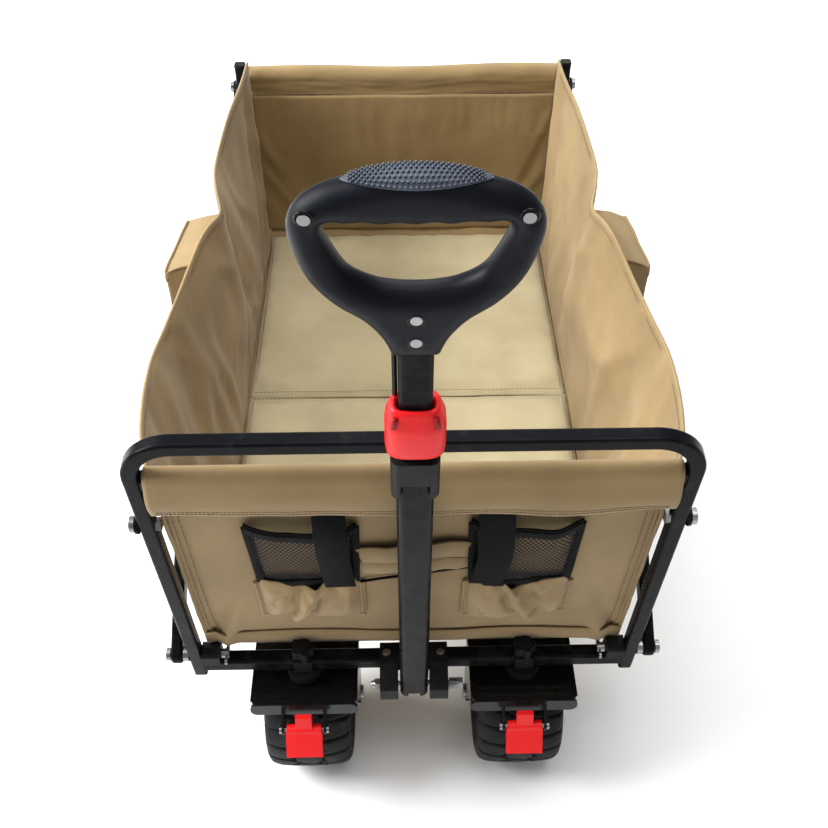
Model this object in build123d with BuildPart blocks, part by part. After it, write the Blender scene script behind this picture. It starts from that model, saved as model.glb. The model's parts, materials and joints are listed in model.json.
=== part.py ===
from build123d import *
import os
from math import cos, radians, sin, tan

os.makedirs("parts", exist_ok=True)

# A collapsible wagon: +X across, +Y from the pulling end to the rear, +Z up, ground at Z = 0.

# ---- overall layout ----
frame_span = 880.0          # front foot pivot to rear foot pivot, along Y
y_front = -421.0            # plane of the front feet
y_rear = y_front + frame_span
y_middle = (y_front + y_rear) / 2
leg_x = 262.0               # centre of each leg
leg_size = 16.0             # square frame tube
leg_wall = 1.5
front_lean = 5.6            # the front frame leans forward, degrees

# ---- side linkage ----
foot_pivot_z = 236.0        # lower pivots of the thick links
post_pivot_z = 519.0        # upper pivots of the thin strips
link_rise = post_pivot_z - foot_pivot_z
lean_offset = link_rise * tan(radians(front_lean))
bar_gap_y = y_middle - lean_offset / 2

link_in, link_out = 277.0, 291.0      # thick link, between these X planes
link_width = 22.0
lap_middle = (link_in + link_out) / 2 # the two links halve their thickness where they share a pin
lap_gap = 0.6
lap_radius = 38.0
strip_in, strip_out = 271.2, 274.2    # thin strip, between these X planes
strip_width = 20.0
bolt_r = 4.0
bolt_fit = 0.05                       # radial clearance of a turning bolt

# ---- cross members ----
crossbar_z = 220.0
crossbar_size = 19.0
rim_bar_z = 592.0
top_bar_z = 645.0

# ---- wheels ----
tyre_r = 92.0
tyre_half = 54.0
hub_half = 58.0
axle_r = 6.0
caster_x = 134.0
caster_trail = 27.0
rear_wheel_x = 160.0

# ---- floor ----
board_bottom = 230.5
board_thick = 4.0
mat_top = 245.0
board_half_width = 232.0
hinge_inset = 32.0
middle_gap = 28.0

# ---- handle ----
handle_lean = 6.6
handle_y = y_front - 26.0
handle_z = 203.0
tube_w, tube_d = 33.5, 22.0
tube_top = 505.0
inner_w, inner_d = 27.6, 16.0
collar_low, collar_high = 487.0, 543.0
clip_low, clip_high = 426.0, 477.0
grip_low, grip_high = 604.0, 768.0
finger_top, finger_bottom = 729.0, 670.0
grip_half = 84.0
grip_depth = 30.0


def front_leg_y(z):
    return y_front - (z - foot_pivot_z) * tan(radians(front_lean))


def plane_x(x, y=0.0, z=0.0):
    """A plane facing +X whose own axes are global Y and Z."""
    return Plane(origin=(x, y, z), x_dir=(0, 1, 0), z_dir=(1, 0, 0))


def cyl_x(x0, x1, y, z, r, mode=Mode.ADD):
    with BuildSketch(plane_x(x0, y, z)) as disc:
        Circle(r)
    extrude(disc.sketch, amount=x1 - x0, mode=mode)


def cyl_z(x, y, z0, z1, r, mode=Mode.ADD):
    with BuildSketch(Plane(origin=(x, y, z0))) as disc:
        Circle(r)
    extrude(disc.sketch, amount=z1 - z0, mode=mode)


def block(x0, x1, y0, y1, z0, z1, mode=Mode.ADD):
    with BuildSketch(Plane(origin=((x0 + x1) / 2, (y0 + y1) / 2, z0))) as face:
        Rectangle(x1 - x0, y1 - y0)
    extrude(face.sketch, amount=z1 - z0, mode=mode)


def tube_x(x0, x1, y, z, size, wall, tilt=0.0):
    """A square tube along X, turned by tilt degrees about its own axis."""
    with BuildSketch(plane_x(x0, y, z)) as face:
        RectangleRounded(size, size, size * 0.18, rotation=tilt)
        RectangleRounded(size - 2 * wall, size - 2 * wall, size * 0.1, rotation=tilt, mode=Mode.SUBTRACT)
    extrude(face.sketch, amount=x1 - x0)


def capsule_x(x0, x1, start, end, width):
    """A round-ended bar from start to end, both (y, z), between two X planes."""
    middle = ((start[0] + end[0]) / 2, (start[1] + end[1]) / 2)
    with BuildSketch(plane_x(x0)) as face:
        SlotCenterPoint(middle, end, width)
    extrude(face.sketch, amount=x1 - x0)


def save(piece, name):
    piece.part.label = name
    export_step(piece.part, f"parts/{name}.step")


# ================= front frame =================
lean_plane = Plane(origin=(0, y_front, foot_pivot_z), x_dir=(1, 0, 0),
                   z_dir=(0, -cos(radians(front_lean)), -sin(radians(front_lean))))
foot_drop = 39.0
corner_radius = 45.0
top_rise = (top_bar_z - foot_pivot_z) / cos(radians(front_lean))

with BuildPart() as front_u_frame:
    with BuildLine(lean_plane) as u_path:
        FilletPolyline((-leg_x, -foot_drop), (-leg_x, top_rise), (leg_x, top_rise), (leg_x, -foot_drop),
                       radius=corner_radius)
    with BuildSketch(Plane(origin=u_path.line @ 0, x_dir=(1, 0, 0), z_dir=u_path.line % 0)):
        RectangleRounded(leg_size, leg_size, 3)
        RectangleRounded(leg_size - 2 * leg_wall, leg_size - 2 * leg_wall, 1.6, mode=Mode.SUBTRACT)
    sweep(path=u_path.line)
    for side in (-1, 1):
        for z in (foot_pivot_z, post_pivot_z):
            cyl_x(side * (leg_x - 12), side * (leg_x + 12), front_leg_y(z), z, bolt_r + bolt_fit,
                  Mode.SUBTRACT)
save(front_u_frame, "front_u_frame")

with BuildPart() as front_feet_plugs:
    for side in (-1, 1):
        foot = Plane(origin=lean_plane.from_local_coords(Vector(side * leg_x, -foot_drop, 0)), x_dir=(1, 0, 0),
                     z_dir=(0, sin(radians(front_lean)), -cos(radians(front_lean))))
        with BuildSketch(foot) as cap:
            RectangleRounded(leg_size, leg_size, 3)
        extrude(cap.sketch, amount=3)
        with BuildSketch(foot) as plug:
            RectangleRounded(leg_size - 2 * leg_wall, leg_size - 2 * leg_wall, 1.6)
        extrude(plug.sketch, amount=-12)
save(front_feet_plugs, "front_feet_plugs")

inner_face = leg_x - leg_size / 2
leg_face = leg_x + leg_size / 2
with BuildPart() as front_crossbar:
    tube_x(-inner_face, inner_face, y_front, crossbar_z, crossbar_size, leg_wall)
save(front_crossbar, "front_crossbar")

with BuildPart() as front_rim_bar:
    tube_x(-inner_face, inner_face, front_leg_y(rim_bar_z), rim_bar_z, leg_size, leg_wall, tilt=front_lean)
save(front_rim_bar, "front_rim_bar")

# plastic blocks beside the feet, drilled for the foot bolts
with BuildPart() as rail_blocks:
    for side in (-1, 1):
        block(side * 232, side * inner_face, y_front - 12, y_front + 12, crossbar_z + crossbar_size / 2, 247)
    fillet(rail_blocks.edges().filter_by(Axis.X).group_by(Axis.Z)[-1], 5)
    for side in (-1, 1):
        cyl_x(side * 230, side * 256, y_front, foot_pivot_z, bolt_r + bolt_fit, Mode.SUBTRACT)
save(rail_blocks, "rail_blocks")

# foot bolts with wing nuts, and the bolts that hold the strips on the legs
with BuildPart() as front_bolts:
    for side in (-1, 1):
        cyl_x(side * 226, side * 296, y_front, foot_pivot_z, bolt_r)
        cyl_x(side * leg_face, side * (link_in - 0.4), y_front, foot_pivot_z, 9)
        cyl_x(side * 292, side * 297, y_front, foot_pivot_z, 8)
        cyl_x(side * 222, side * 231.5, y_front, foot_pivot_z, 6)
        with BuildSketch(plane_x(side * 223, y_front, foot_pivot_z)) as wings:
            SlotOverall(30, 8)
        extrude(wings.sketch, amount=side * 3)
        leg_y = front_leg_y(post_pivot_z)
        cyl_x(side * 250, side * 277, leg_y, post_pivot_z, bolt_r)
        cyl_x(side * 275, side * 280, leg_y, post_pivot_z, 8.5)
        with BuildSketch(plane_x(side * 249, leg_y, post_pivot_z)) as nut:
            RegularPolygon(7.5, 6)
        extrude(nut.sketch, amount=side * 5)
save(front_bolts, "front_bolts")

# saddles over the crossbar that carry the caster stems
with BuildPart() as caster_mounts:
    bar = crossbar_size / 2
    for side in (-1, 1):
        x = side * caster_x
        block(x - 11, x + 11, y_front - 13, y_front + 13, 205, 232)
        cyl_z(x, y_front, 194.5, 209, 21)
        block(x - 24, x + 24, y_front - bar, y_front + bar, crossbar_z - bar, crossbar_z + bar, Mode.SUBTRACT)
        cyl_z(x, y_front, 194, 207, 5 + bolt_fit, Mode.SUBTRACT)
save(caster_mounts, "caster_mounts")

knob_lobes = 5
with BuildPart() as caster_knobs:
    for side in (-1, 1):
        with BuildSketch(Plane(origin=(side * caster_x, y_front, 232))) as knob:
            Circle(10.5)
            with PolarLocations(9.5, knob_lobes):
                Circle(4.2)
        extrude(knob.sketch, amount=16)
        cyl_z(side * caster_x, y_front, 248, 251, 8)
save(caster_knobs, "caster_knobs")

# ---- handle yoke ----
yoke_half = 41.0
cheek_in = 19.0
with BuildPart() as handle_yoke:
    with BuildSketch(plane_x(-yoke_half)) as profile:
        with BuildLine():
            Polyline((y_front + 13, 233), (y_front - 16, 233), (y_front - 42, 214), (y_front - 42, 194),
                     (y_front - 34, 187), (y_front - 18, 187), (y_front - 10, 206), (y_front + 13, 206),
                     close=True)
        make_face()
    extrude(profile.sketch, amount=2 * yoke_half)
    block(-50, 50, y_front - bar, y_front + bar, crossbar_z - bar, crossbar_z + bar, Mode.SUBTRACT)
    block(-cheek_in, cheek_in, y_front - 50, y_front - 12, 180, 240, Mode.SUBTRACT)
    block(-cheek_in, cheek_in, y_front - 20, y_front + 20, 200, crossbar_z - bar, Mode.SUBTRACT)
    cyl_x(-60, 60, handle_y, handle_z, bolt_r + bolt_fit, Mode.SUBTRACT)
save(handle_yoke, "handle_yoke")

with BuildPart() as yoke_screws:
    for side in (-1, 1):
        cyl_z(side * 32.5, y_front - 2, 233, 235.4, 5)
        cyl_z(side * 32.5, y_front - 2, 235.4, 236.4, 3.6)
save(yoke_screws, "yoke_screws")

with BuildPart() as handle_pivot_bolt:
    cyl_x(-49, 57, handle_y, handle_z, bolt_r)
    for x0, x1 in ((-47, -41.2), (54, 59)):
        with BuildSketch(plane_x(x0, handle_y, handle_z)) as nut:
            RegularPolygon(7.5, 6)
        extrude(nut.sketch, amount=x1 - x0)
    with BuildSketch(plane_x(-47, handle_y, handle_z)) as dome:
        Circle(6)
    extrude(dome.sketch, amount=-5, taper=25)
save(handle_pivot_bolt, "handle_pivot_bolt")

spring_r, spring_wire, spring_start, spring_turns, spring_pitch = 6.2, 0.8, 42.2, 5, 2.2
with BuildPart() as pivot_spring:
    with BuildLine() as coil:
        Helix(spring_pitch, spring_pitch * spring_turns, spring_r, center=(spring_start, handle_y, handle_z),
              direction=(1, 0, 0))
    with BuildSketch(Plane(origin=coil.line @ 0, z_dir=coil.line % 0)):
        Circle(spring_wire)
    sweep(path=coil.line)
save(pivot_spring, "pivot_spring")

# ================= rear frame =================
with BuildPart() as rear_u_frame:
    for side in (-1, 1):
        with BuildSketch(Plane(origin=(side * leg_x, y_rear, 200))) as post:
            RectangleRounded(leg_size, leg_size, 3)
            RectangleRounded(leg_size - 2 * leg_wall, leg_size - 2 * leg_wall, 1.6, mode=Mode.SUBTRACT)
        extrude(post.sketch, amount=354)
    for side in (-1, 1):
        for z in (foot_pivot_z, post_pivot_z):
            cyl_x(side * (leg_x - 12), side * (leg_x + 12), y_rear, z, bolt_r + bolt_fit, Mode.SUBTRACT)
    tube_x(-inner_face, inner_face, y_rear, 536, leg_size, leg_wall)
save(rear_u_frame, "rear_u_frame")

with BuildPart() as rear_crossbar:
    tube_x(-inner_face, inner_face, y_rear, crossbar_z, crossbar_size, leg_wall)
save(rear_crossbar, "rear_crossbar")

with BuildPart() as post_caps:
    for side in (-1, 1):
        for z0, z1, depth in ((554, 558, -10), (200, 196, 10)):
            with BuildSketch(Plane(origin=(side * leg_x, y_rear, z0))) as cap:
                RectangleRounded(leg_size + 1, leg_size + 1, 3.5)
            extrude(cap.sketch, amount=z1 - z0)
            with BuildSketch(Plane(origin=(side * leg_x, y_rear, z0))) as plug:
                RectangleRounded(leg_size - 2 * leg_wall, leg_size - 2 * leg_wall, 1.6)
            extrude(plug.sketch, amount=depth)
    fillet(post_caps.edges().group_by(Axis.Z)[-1], 1.5)
save(post_caps, "post_caps")

with BuildPart() as rear_bolts:
    for side in (-1, 1):
        cyl_x(side * 250, side * 296, y_rear, foot_pivot_z, bolt_r)
        cyl_x(side * leg_face, side * (link_in - 0.4), y_rear, foot_pivot_z, 9)
        cyl_x(side * 292, side * 297, y_rear, foot_pivot_z, 8)
        cyl_x(side * 250, side * 277, y_rear, post_pivot_z, bolt_r)
        cyl_x(side * 275, side * 280, y_rear, post_pivot_z, 8.5)
        for z in (foot_pivot_z, post_pivot_z):
            with BuildSketch(plane_x(side * 249, y_rear, z)) as nut:
                RegularPolygon(7.5, 6)
            extrude(nut.sketch, amount=side * 5)
save(rear_bolts, "rear_bolts")

with BuildPart() as axle_brackets:
    for side in (-1, 1):
        for x in (rear_wheel_x - hub_half - 7, rear_wheel_x + hub_half + 2):
            with BuildSketch(plane_x(side * x)) as leg:
                with BuildLine():
                    Polyline((y_rear - 24, 209), (y_rear + 24, 209), (y_rear + 14, 92), (y_rear - 14, 92),
                             close=True)
                make_face()
                with Locations((y_rear, tyre_r)):
                    Circle(14)
                    Circle(axle_r + bolt_fit, mode=Mode.SUBTRACT)
            extrude(leg.sketch, amount=side * 5)
        block(side * (rear_wheel_x - 65), side * (rear_wheel_x + 65), y_rear - 24, y_rear + 24, 206, 210.5)
save(axle_brackets, "axle_brackets")

with BuildPart() as rear_axles:
    for side in (-1, 1):
        inner_end, outer_end = side * (rear_wheel_x - 69), side * (rear_wheel_x + 69)
        cyl_x(inner_end, outer_end, y_rear, tyre_r, axle_r)
        cyl_x(outer_end - side * 3.5, outer_end + side * 2, y_rear, tyre_r, 9)
        with BuildSketch(plane_x(inner_end, y_rear, tyre_r)) as nut:
            RegularPolygon(10, 6)
        extrude(nut.sketch, amount=side * 3.5)
save(rear_axles, "rear_axles")


# ================= side linkage =================
def drill_pivots(points):
    for y, z in points:
        for side in (-1, 1):
            cyl_x(side * 264, side * 300, y, z, bolt_r + bolt_fit, Mode.SUBTRACT)


top_pin = (y_middle, post_pivot_z)
bar_front = (bar_gap_y - lean_offset / 2, foot_pivot_z)
bar_rear = (bar_gap_y + lean_offset / 2, foot_pivot_z)
front_foot = (y_front, foot_pivot_z)
rear_foot = (y_rear, foot_pivot_z)
front_post = (front_leg_y(post_pivot_z), post_pivot_z)
rear_post = (y_rear, post_pivot_z)

# thick links from the feet up to one shared pin, each cut to half its thickness round that pin
for end, foot, cut_from, cut_to in (("front", front_foot, lap_middle - lap_gap / 2, link_out + 1),
                                    ("rear", rear_foot, link_in - 1, lap_middle + lap_gap / 2)):
    with BuildPart() as links:
        for side in (-1, 1):
            capsule_x(side * link_in, side * link_out, foot, top_pin, link_width)
        fillet(links.faces().filter_by(Axis.X).edges(), 3.5)
        for side in (-1, 1):
            cyl_x(side * cut_from, side * cut_to, *top_pin, lap_radius, Mode.SUBTRACT)
        drill_pivots((foot, top_pin))
    save(links, f"{end}_links")

for end, post, bar_end in (("front", front_post, bar_front), ("rear", rear_post, bar_rear)):
    hole = bolt_r + (0.4 if end == "front" else bolt_fit)
    with BuildPart() as strips:
        for side in (-1, 1):
            capsule_x(side * strip_in, side * strip_out, post, bar_end, strip_width)
            cyl_x(side * 264, side * 300, post[0], post[1], hole, Mode.SUBTRACT)
            cyl_x(side * 264, side * 300, bar_end[0], bar_end[1], bolt_r + bolt_fit, Mode.SUBTRACT)
    save(strips, f"{end}_strips")

# a plastic cap astride each shared pin
bridge_z = post_pivot_z + link_width / 2 + 1.0
with BuildPart() as knuckles:
    for side in (-1, 1):
        for x0, x1 in ((272.0, link_in - 0.4), (link_out + 0.4, 295.4)):
            cyl_x(side * x0, side * x1, *top_pin, 13)
            block(side * x0, side * x1, y_middle - 8, y_middle + 8, post_pivot_z, bridge_z + 1)
        block(side * 272.0, side * 295.4, y_middle - 13, y_middle + 13, bridge_z, bridge_z + 4)
    drill_pivots((top_pin,))
save(knuckles, "knuckles")

with BuildPart() as knuckle_bolts:
    for side in (-1, 1):
        cyl_x(side * 269, side * 298, *top_pin, bolt_r)
        cyl_x(side * 295.4, side * 299, *top_pin, 7)
        cyl_x(side * 268.4, side * 272, *top_pin, 7)
save(knuckle_bolts, "knuckle_bolts")

rod_z = 223.0
with BuildPart() as mid_bar:
    cyl_x(-266.5, 266.5, bar_gap_y, rod_z, 6)
    for side in (-1, 1):
        capsule_x(side * 266.5, side * (strip_in - 0.4), bar_front, bar_rear, 22)
        cyl_x(side * 266.5, side * (strip_in - 0.4), bar_gap_y, rod_z, 9)
    drill_pivots((bar_front, bar_rear))
save(mid_bar, "mid_bar")

with BuildPart() as mid_bar_pins:
    for side in (-1, 1):
        for y, z in (bar_front, bar_rear):
            cyl_x(side * 263.5, side * 277, y, z, bolt_r)
            cyl_x(side * 263.5, side * 266.5, y, z, 7)
            cyl_x(side * (strip_out + 0.4), side * 277.4, y, z, 7)
save(mid_bar_pins, "mid_bar_pins")

# ================= floor =================
front_hinge_y = y_front + hinge_inset
rear_hinge_y = y_rear - hinge_inset
for end, outer, inner in (("front", front_hinge_y - 6, y_middle - middle_gap),
                          ("rear", y_middle + middle_gap, rear_hinge_y + 6)):
    with BuildPart() as board:
        block(-board_half_width, board_half_width, outer, inner, board_bottom, board_bottom + board_thick)
        fillet(board.edges().filter_by(Axis.Z), 8)
    save(board, f"floor_board_{end}")
    with BuildPart() as mat:
        block(-board_half_width - 3, board_half_width + 3, outer, inner, board_bottom + board_thick, mat_top)
        fillet(mat.edges().filter_by(Axis.Z), 8)
        fillet(mat.edges().group_by(Axis.Z)[-1], 3)
    save(mat, f"floor_mat_{end}")

# ================= fabric =================
front_wall_half = 248.0


def sleeve_and_panel(half, bar_y, bar_z, sleeve_low, sleeve_high, sleeve_half, foot_y, foot_z, inward):
    """A hem pocket round the rim bar, with the wall hanging from its inner side."""
    bar_gap = leg_size / 2 + 1.2
    side_y = bar_y + inward * (bar_gap + 2)
    with BuildSketch(plane_x(-half)) as profile:
        with Locations((bar_y, (sleeve_low + sleeve_high) / 2)):
            RectangleRounded(2 * sleeve_half, sleeve_high - sleeve_low, 9)
        with Locations((bar_y, bar_z)):
            RectangleRounded(2 * bar_gap, 2 * bar_gap, 3, mode=Mode.SUBTRACT)
        with BuildLine():
            Polyline((side_y, sleeve_low + 6), (side_y - inward * 4, sleeve_low + 6),
                     (foot_y - inward * 4, foot_z), (foot_y, foot_z), close=True)
        make_face()
    extrude(profile.sketch, amount=2 * half)


with BuildPart() as front_wall:
    sleeve_and_panel(front_wall_half, front_leg_y(rim_bar_z), rim_bar_z, 556, 612, 13, y_front + 14, 249, 1)
save(front_wall, "front_wall")

with BuildPart() as rear_wall:
    sleeve_and_panel(249.0, y_rear, 536, 499, 559, 13, y_rear - 12, 249, -1)
save(rear_wall, "rear_wall")

# half width of each side wall along the wagon, at the rim and at the floor
rim_profile = ((20, 252), (115, 262), (300, 264), (395, 254), (446, 243), (510, 254), (600, 262), (700, 259),
               (862, 250))
floor_half = 238.0
rim_top = 566.0
wall_thick = 4.0


def wall_outline(side, z, width_of, extra=0.0):
    """The plan outline of one side wall at height z."""
    outer = [(side * (width_of(half) + extra), y_front + along) for along, half in rim_profile]
    inner = [(x - side * wall_thick, y) for x, y in outer]
    with BuildSketch(Plane.XY.offset(z)) as face:
        with BuildLine():
            Spline(outer)
            Line(outer[-1], inner[-1])
            Spline(inner[::-1])
            Line(inner[0], outer[0])
        make_face()
    return face.sketch


for side, hand in ((-1, "left"), (1, "right")):
    with BuildPart() as side_wall:
        loft([wall_outline(side, 249, lambda half: floor_half), wall_outline(side, rim_top, lambda half: half)])
    save(side_wall, f"side_wall_{hand}")

# open pockets outside the side walls: a hanging panel outside the links, held by a web at each end
panel_in, panel_out = 300.0, 302.0
panel_low, panel_high = 372.0, 532.0
panel_front, panel_rear = y_middle - 85, y_middle + 23
with BuildPart() as side_pockets:
    for side in (-1, 1):
        block(side * panel_in, side * panel_out, panel_front, panel_rear, panel_low, panel_high)
        block(side * 267, side * panel_out, panel_front - 2, panel_front, 495, panel_high)
        block(side * 261, side * panel_out, panel_rear, panel_rear + 2, 523, panel_high)
save(side_pockets, "side_pockets")


def wall_face_y(z):
    """Outer face of the hanging front wall at height z."""
    top_y = front_leg_y(rim_bar_z) + leg_size / 2 - 0.8
    return top_y + (y_front + 10 - top_y) * (562 - z) / (562 - 249)


cup_x, cup_half, cup_low, cup_high = 113.0, 56.0, 408.0, 518.0
cup_floor_depth, cup_mouth_depth, cup_wall = 20.0, 26.0, 1.5
for side, hand in ((-1, "left"), (1, "right")):
    with BuildPart() as cup:
        sections = []
        cup_ends = ((cup_low, cup_floor_depth, cup_half - 3), (cup_high, cup_mouth_depth, cup_half))
        for z, depth, half in cup_ends:
            with BuildSketch(Plane.XY.offset(z)) as shape:
                with Locations((side * cup_x, wall_face_y(z) - 0.6 - depth / 2)):
                    RectangleRounded(2 * half, depth, depth * 0.42)
            sections.append(shape.sketch)
        loft(sections)
        offset(amount=-cup_wall, openings=cup.faces().sort_by(Axis.Z)[-1])
    save(cup, f"cup_pocket_{hand}")

with BuildPart() as lower_pockets:
    for side in (-1, 1):
        sections = []
        for z, depth, half in ((328, 10, 50), (404, 18, cup_half - 4)):
            with BuildSketch(Plane.XY.offset(z)) as shape:
                with Locations((side * cup_x, wall_face_y(z) - 0.6 - depth / 2)):
                    RectangleRounded(2 * half, depth, depth * 0.4)
            sections.append(shape.sketch)
        loft(sections)
save(lower_pockets, "lower_pockets")

strap_low, strap_high, strap_width, strap_thick = 430.0, 480.0, 110.0, 4.0
with BuildPart() as front_strap:
    bands = []
    for z in (strap_low, strap_high):
        with BuildSketch(Plane.XY.offset(z)) as band:
            with Locations((0, wall_face_y(z) - 1.0 - strap_thick / 2)):
                RectangleRounded(strap_width, strap_thick, 1.8)
        bands.append(band.sketch)
    loft(bands)
save(front_strap, "front_strap")

# ================= handle =================
handle_up = (0, -sin(radians(handle_lean)), cos(radians(handle_lean)))


def handle_plane(height):
    """A plane across the handle, height along its axis from the pivot."""
    return Plane(origin=(0, handle_y + handle_up[1] * height, handle_z + handle_up[2] * height),
                 x_dir=(1, 0, 0), z_dir=handle_up)


def grip_plane(depth=0.0):
    """A plane facing forwards, whose Y axis runs up the handle from its pivot."""
    forward = (0, -handle_up[2], handle_up[1])
    return Plane(origin=(0, handle_y + forward[1] * depth, handle_z + forward[2] * depth),
                 x_dir=(1, 0, 0), z_dir=forward)


def oval_run(low, high, w, d, r, mode=Mode.ADD):
    with BuildSketch(handle_plane(low)) as face:
        RectangleRounded(w, d, r)
    extrude(face.sketch, amount=high - low, mode=mode)


fit = 0.3
with BuildPart() as handle_tube:
    oval_run(10, tube_top, tube_w, tube_d, 8)
    oval_run(9, tube_top + 1, inner_w + 2 * fit, inner_d + 2 * fit, 5.5, Mode.SUBTRACT)
save(handle_tube, "handle_tube")

foot_bottom = -13.0
with BuildPart() as handle_foot:
    oval_run(foot_bottom, 10, tube_w, tube_d - 1, 8)
    oval_run(10, 34, inner_w, inner_d, 5.3)
    block(-7, 7, handle_y - 20, handle_y + 20, handle_z - 22, handle_z - 7, Mode.SUBTRACT)
    cyl_x(-30, 30, handle_y, handle_z, bolt_r + bolt_fit, Mode.SUBTRACT)
save(handle_foot, "handle_foot")

with BuildPart() as handle_clip:
    oval_run(clip_low, clip_high, tube_w + 9, tube_d + 9, 9)
    oval_run(clip_low - 1, clip_low + 20, tube_w - 8, tube_d + 20, 4, Mode.SUBTRACT)
    oval_run(clip_low - 1, clip_high + 1, tube_w, tube_d, 8, Mode.SUBTRACT)
save(handle_clip, "handle_clip")

with BuildPart() as release_collar:
    oval_run(collar_low, collar_high, tube_w + 13, tube_d + 14, 11)
    fillet(release_collar.edges().filter_by(GeomType.LINE, reverse=True).group_by(SortBy.LENGTH)[-1], 1.0)
    oval_run(collar_low - 1, tube_top + 12, tube_w + 2 * fit, tube_d + 2 * fit, 8.3, Mode.SUBTRACT)
    oval_run(collar_low, collar_high + 1, inner_w + 2 * fit, inner_d + 2 * fit, 5.5, Mode.SUBTRACT)
save(release_collar, "release_collar")

with BuildPart() as inner_tube:
    oval_run(128, grip_low + 46, inner_w, inner_d, 5.2)
    oval_run(127, grip_low + 47, inner_w - 3, inner_d - 3, 4, Mode.SUBTRACT)
save(inner_tube, "inner_tube")

screw_spots = ((0, 626), (0, 649), (-71, 741), (71, 741))
with BuildPart() as grip_body:
    with BuildSketch(grip_plane(-grip_depth / 2)) as outline:
        with BuildLine():
            half = Spline((0, grip_high), (45.5, 761), (77, 744), (grip_half, 727), (82, 705), (73, 679),
                          (57, 658), (37, 641), (24, 622), (18.5, grip_low), tangents=((1, 0), (0, -1)))
            Line(half @ 1, (0, grip_low))
            Line((0, grip_low), (0, grip_high))
        make_face()
        mirror(about=Plane.YZ)
        with BuildLine():
            hole = Spline((0, finger_top), (40, 730.5), (56, 731), (61, 725), (45, 686), (26, 674),
                          (0, finger_bottom), tangents=((1, 0), (-1, 0)))
            Line(hole @ 1, hole @ 0)
        make_face(mode=Mode.SUBTRACT)
        with BuildLine():
            mirrored = Spline((0, finger_top), (-40, 730.5), (-56, 731), (-61, 725), (-45, 686), (-26, 674),
                              (0, finger_bottom), tangents=((-1, 0), (1, 0)))
            Line(mirrored @ 1, mirrored @ 0)
        make_face(mode=Mode.SUBTRACT)
    extrude(outline.sketch, amount=grip_depth)
    oval_run(grip_low - 1, grip_low + 46.3, inner_w, inner_d, 5.2, Mode.SUBTRACT)
    for x, height in screw_spots:
        with BuildSketch(grip_plane(grip_depth / 2)) as recess:
            with Locations((x, height)):
                Circle(5.4)
        extrude(recess.sketch, amount=-3, mode=Mode.SUBTRACT)
save(grip_body, "grip_body")

with BuildPart() as grip_screws:
    for x, height in screw_spots:
        with BuildSketch(grip_plane(grip_depth / 2 - 3)) as head:
            with Locations((x, height)):
                Circle(4.4)
        extrude(head.sketch, amount=2.6)
save(grip_screws, "grip_screws")

# ================= casters and wheels =================
fork_top, fork_plate = 191.0, 4.0
brake_y, brake_z = y_front - 62.0, 162.0
wheel_y = y_front + caster_trail

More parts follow.
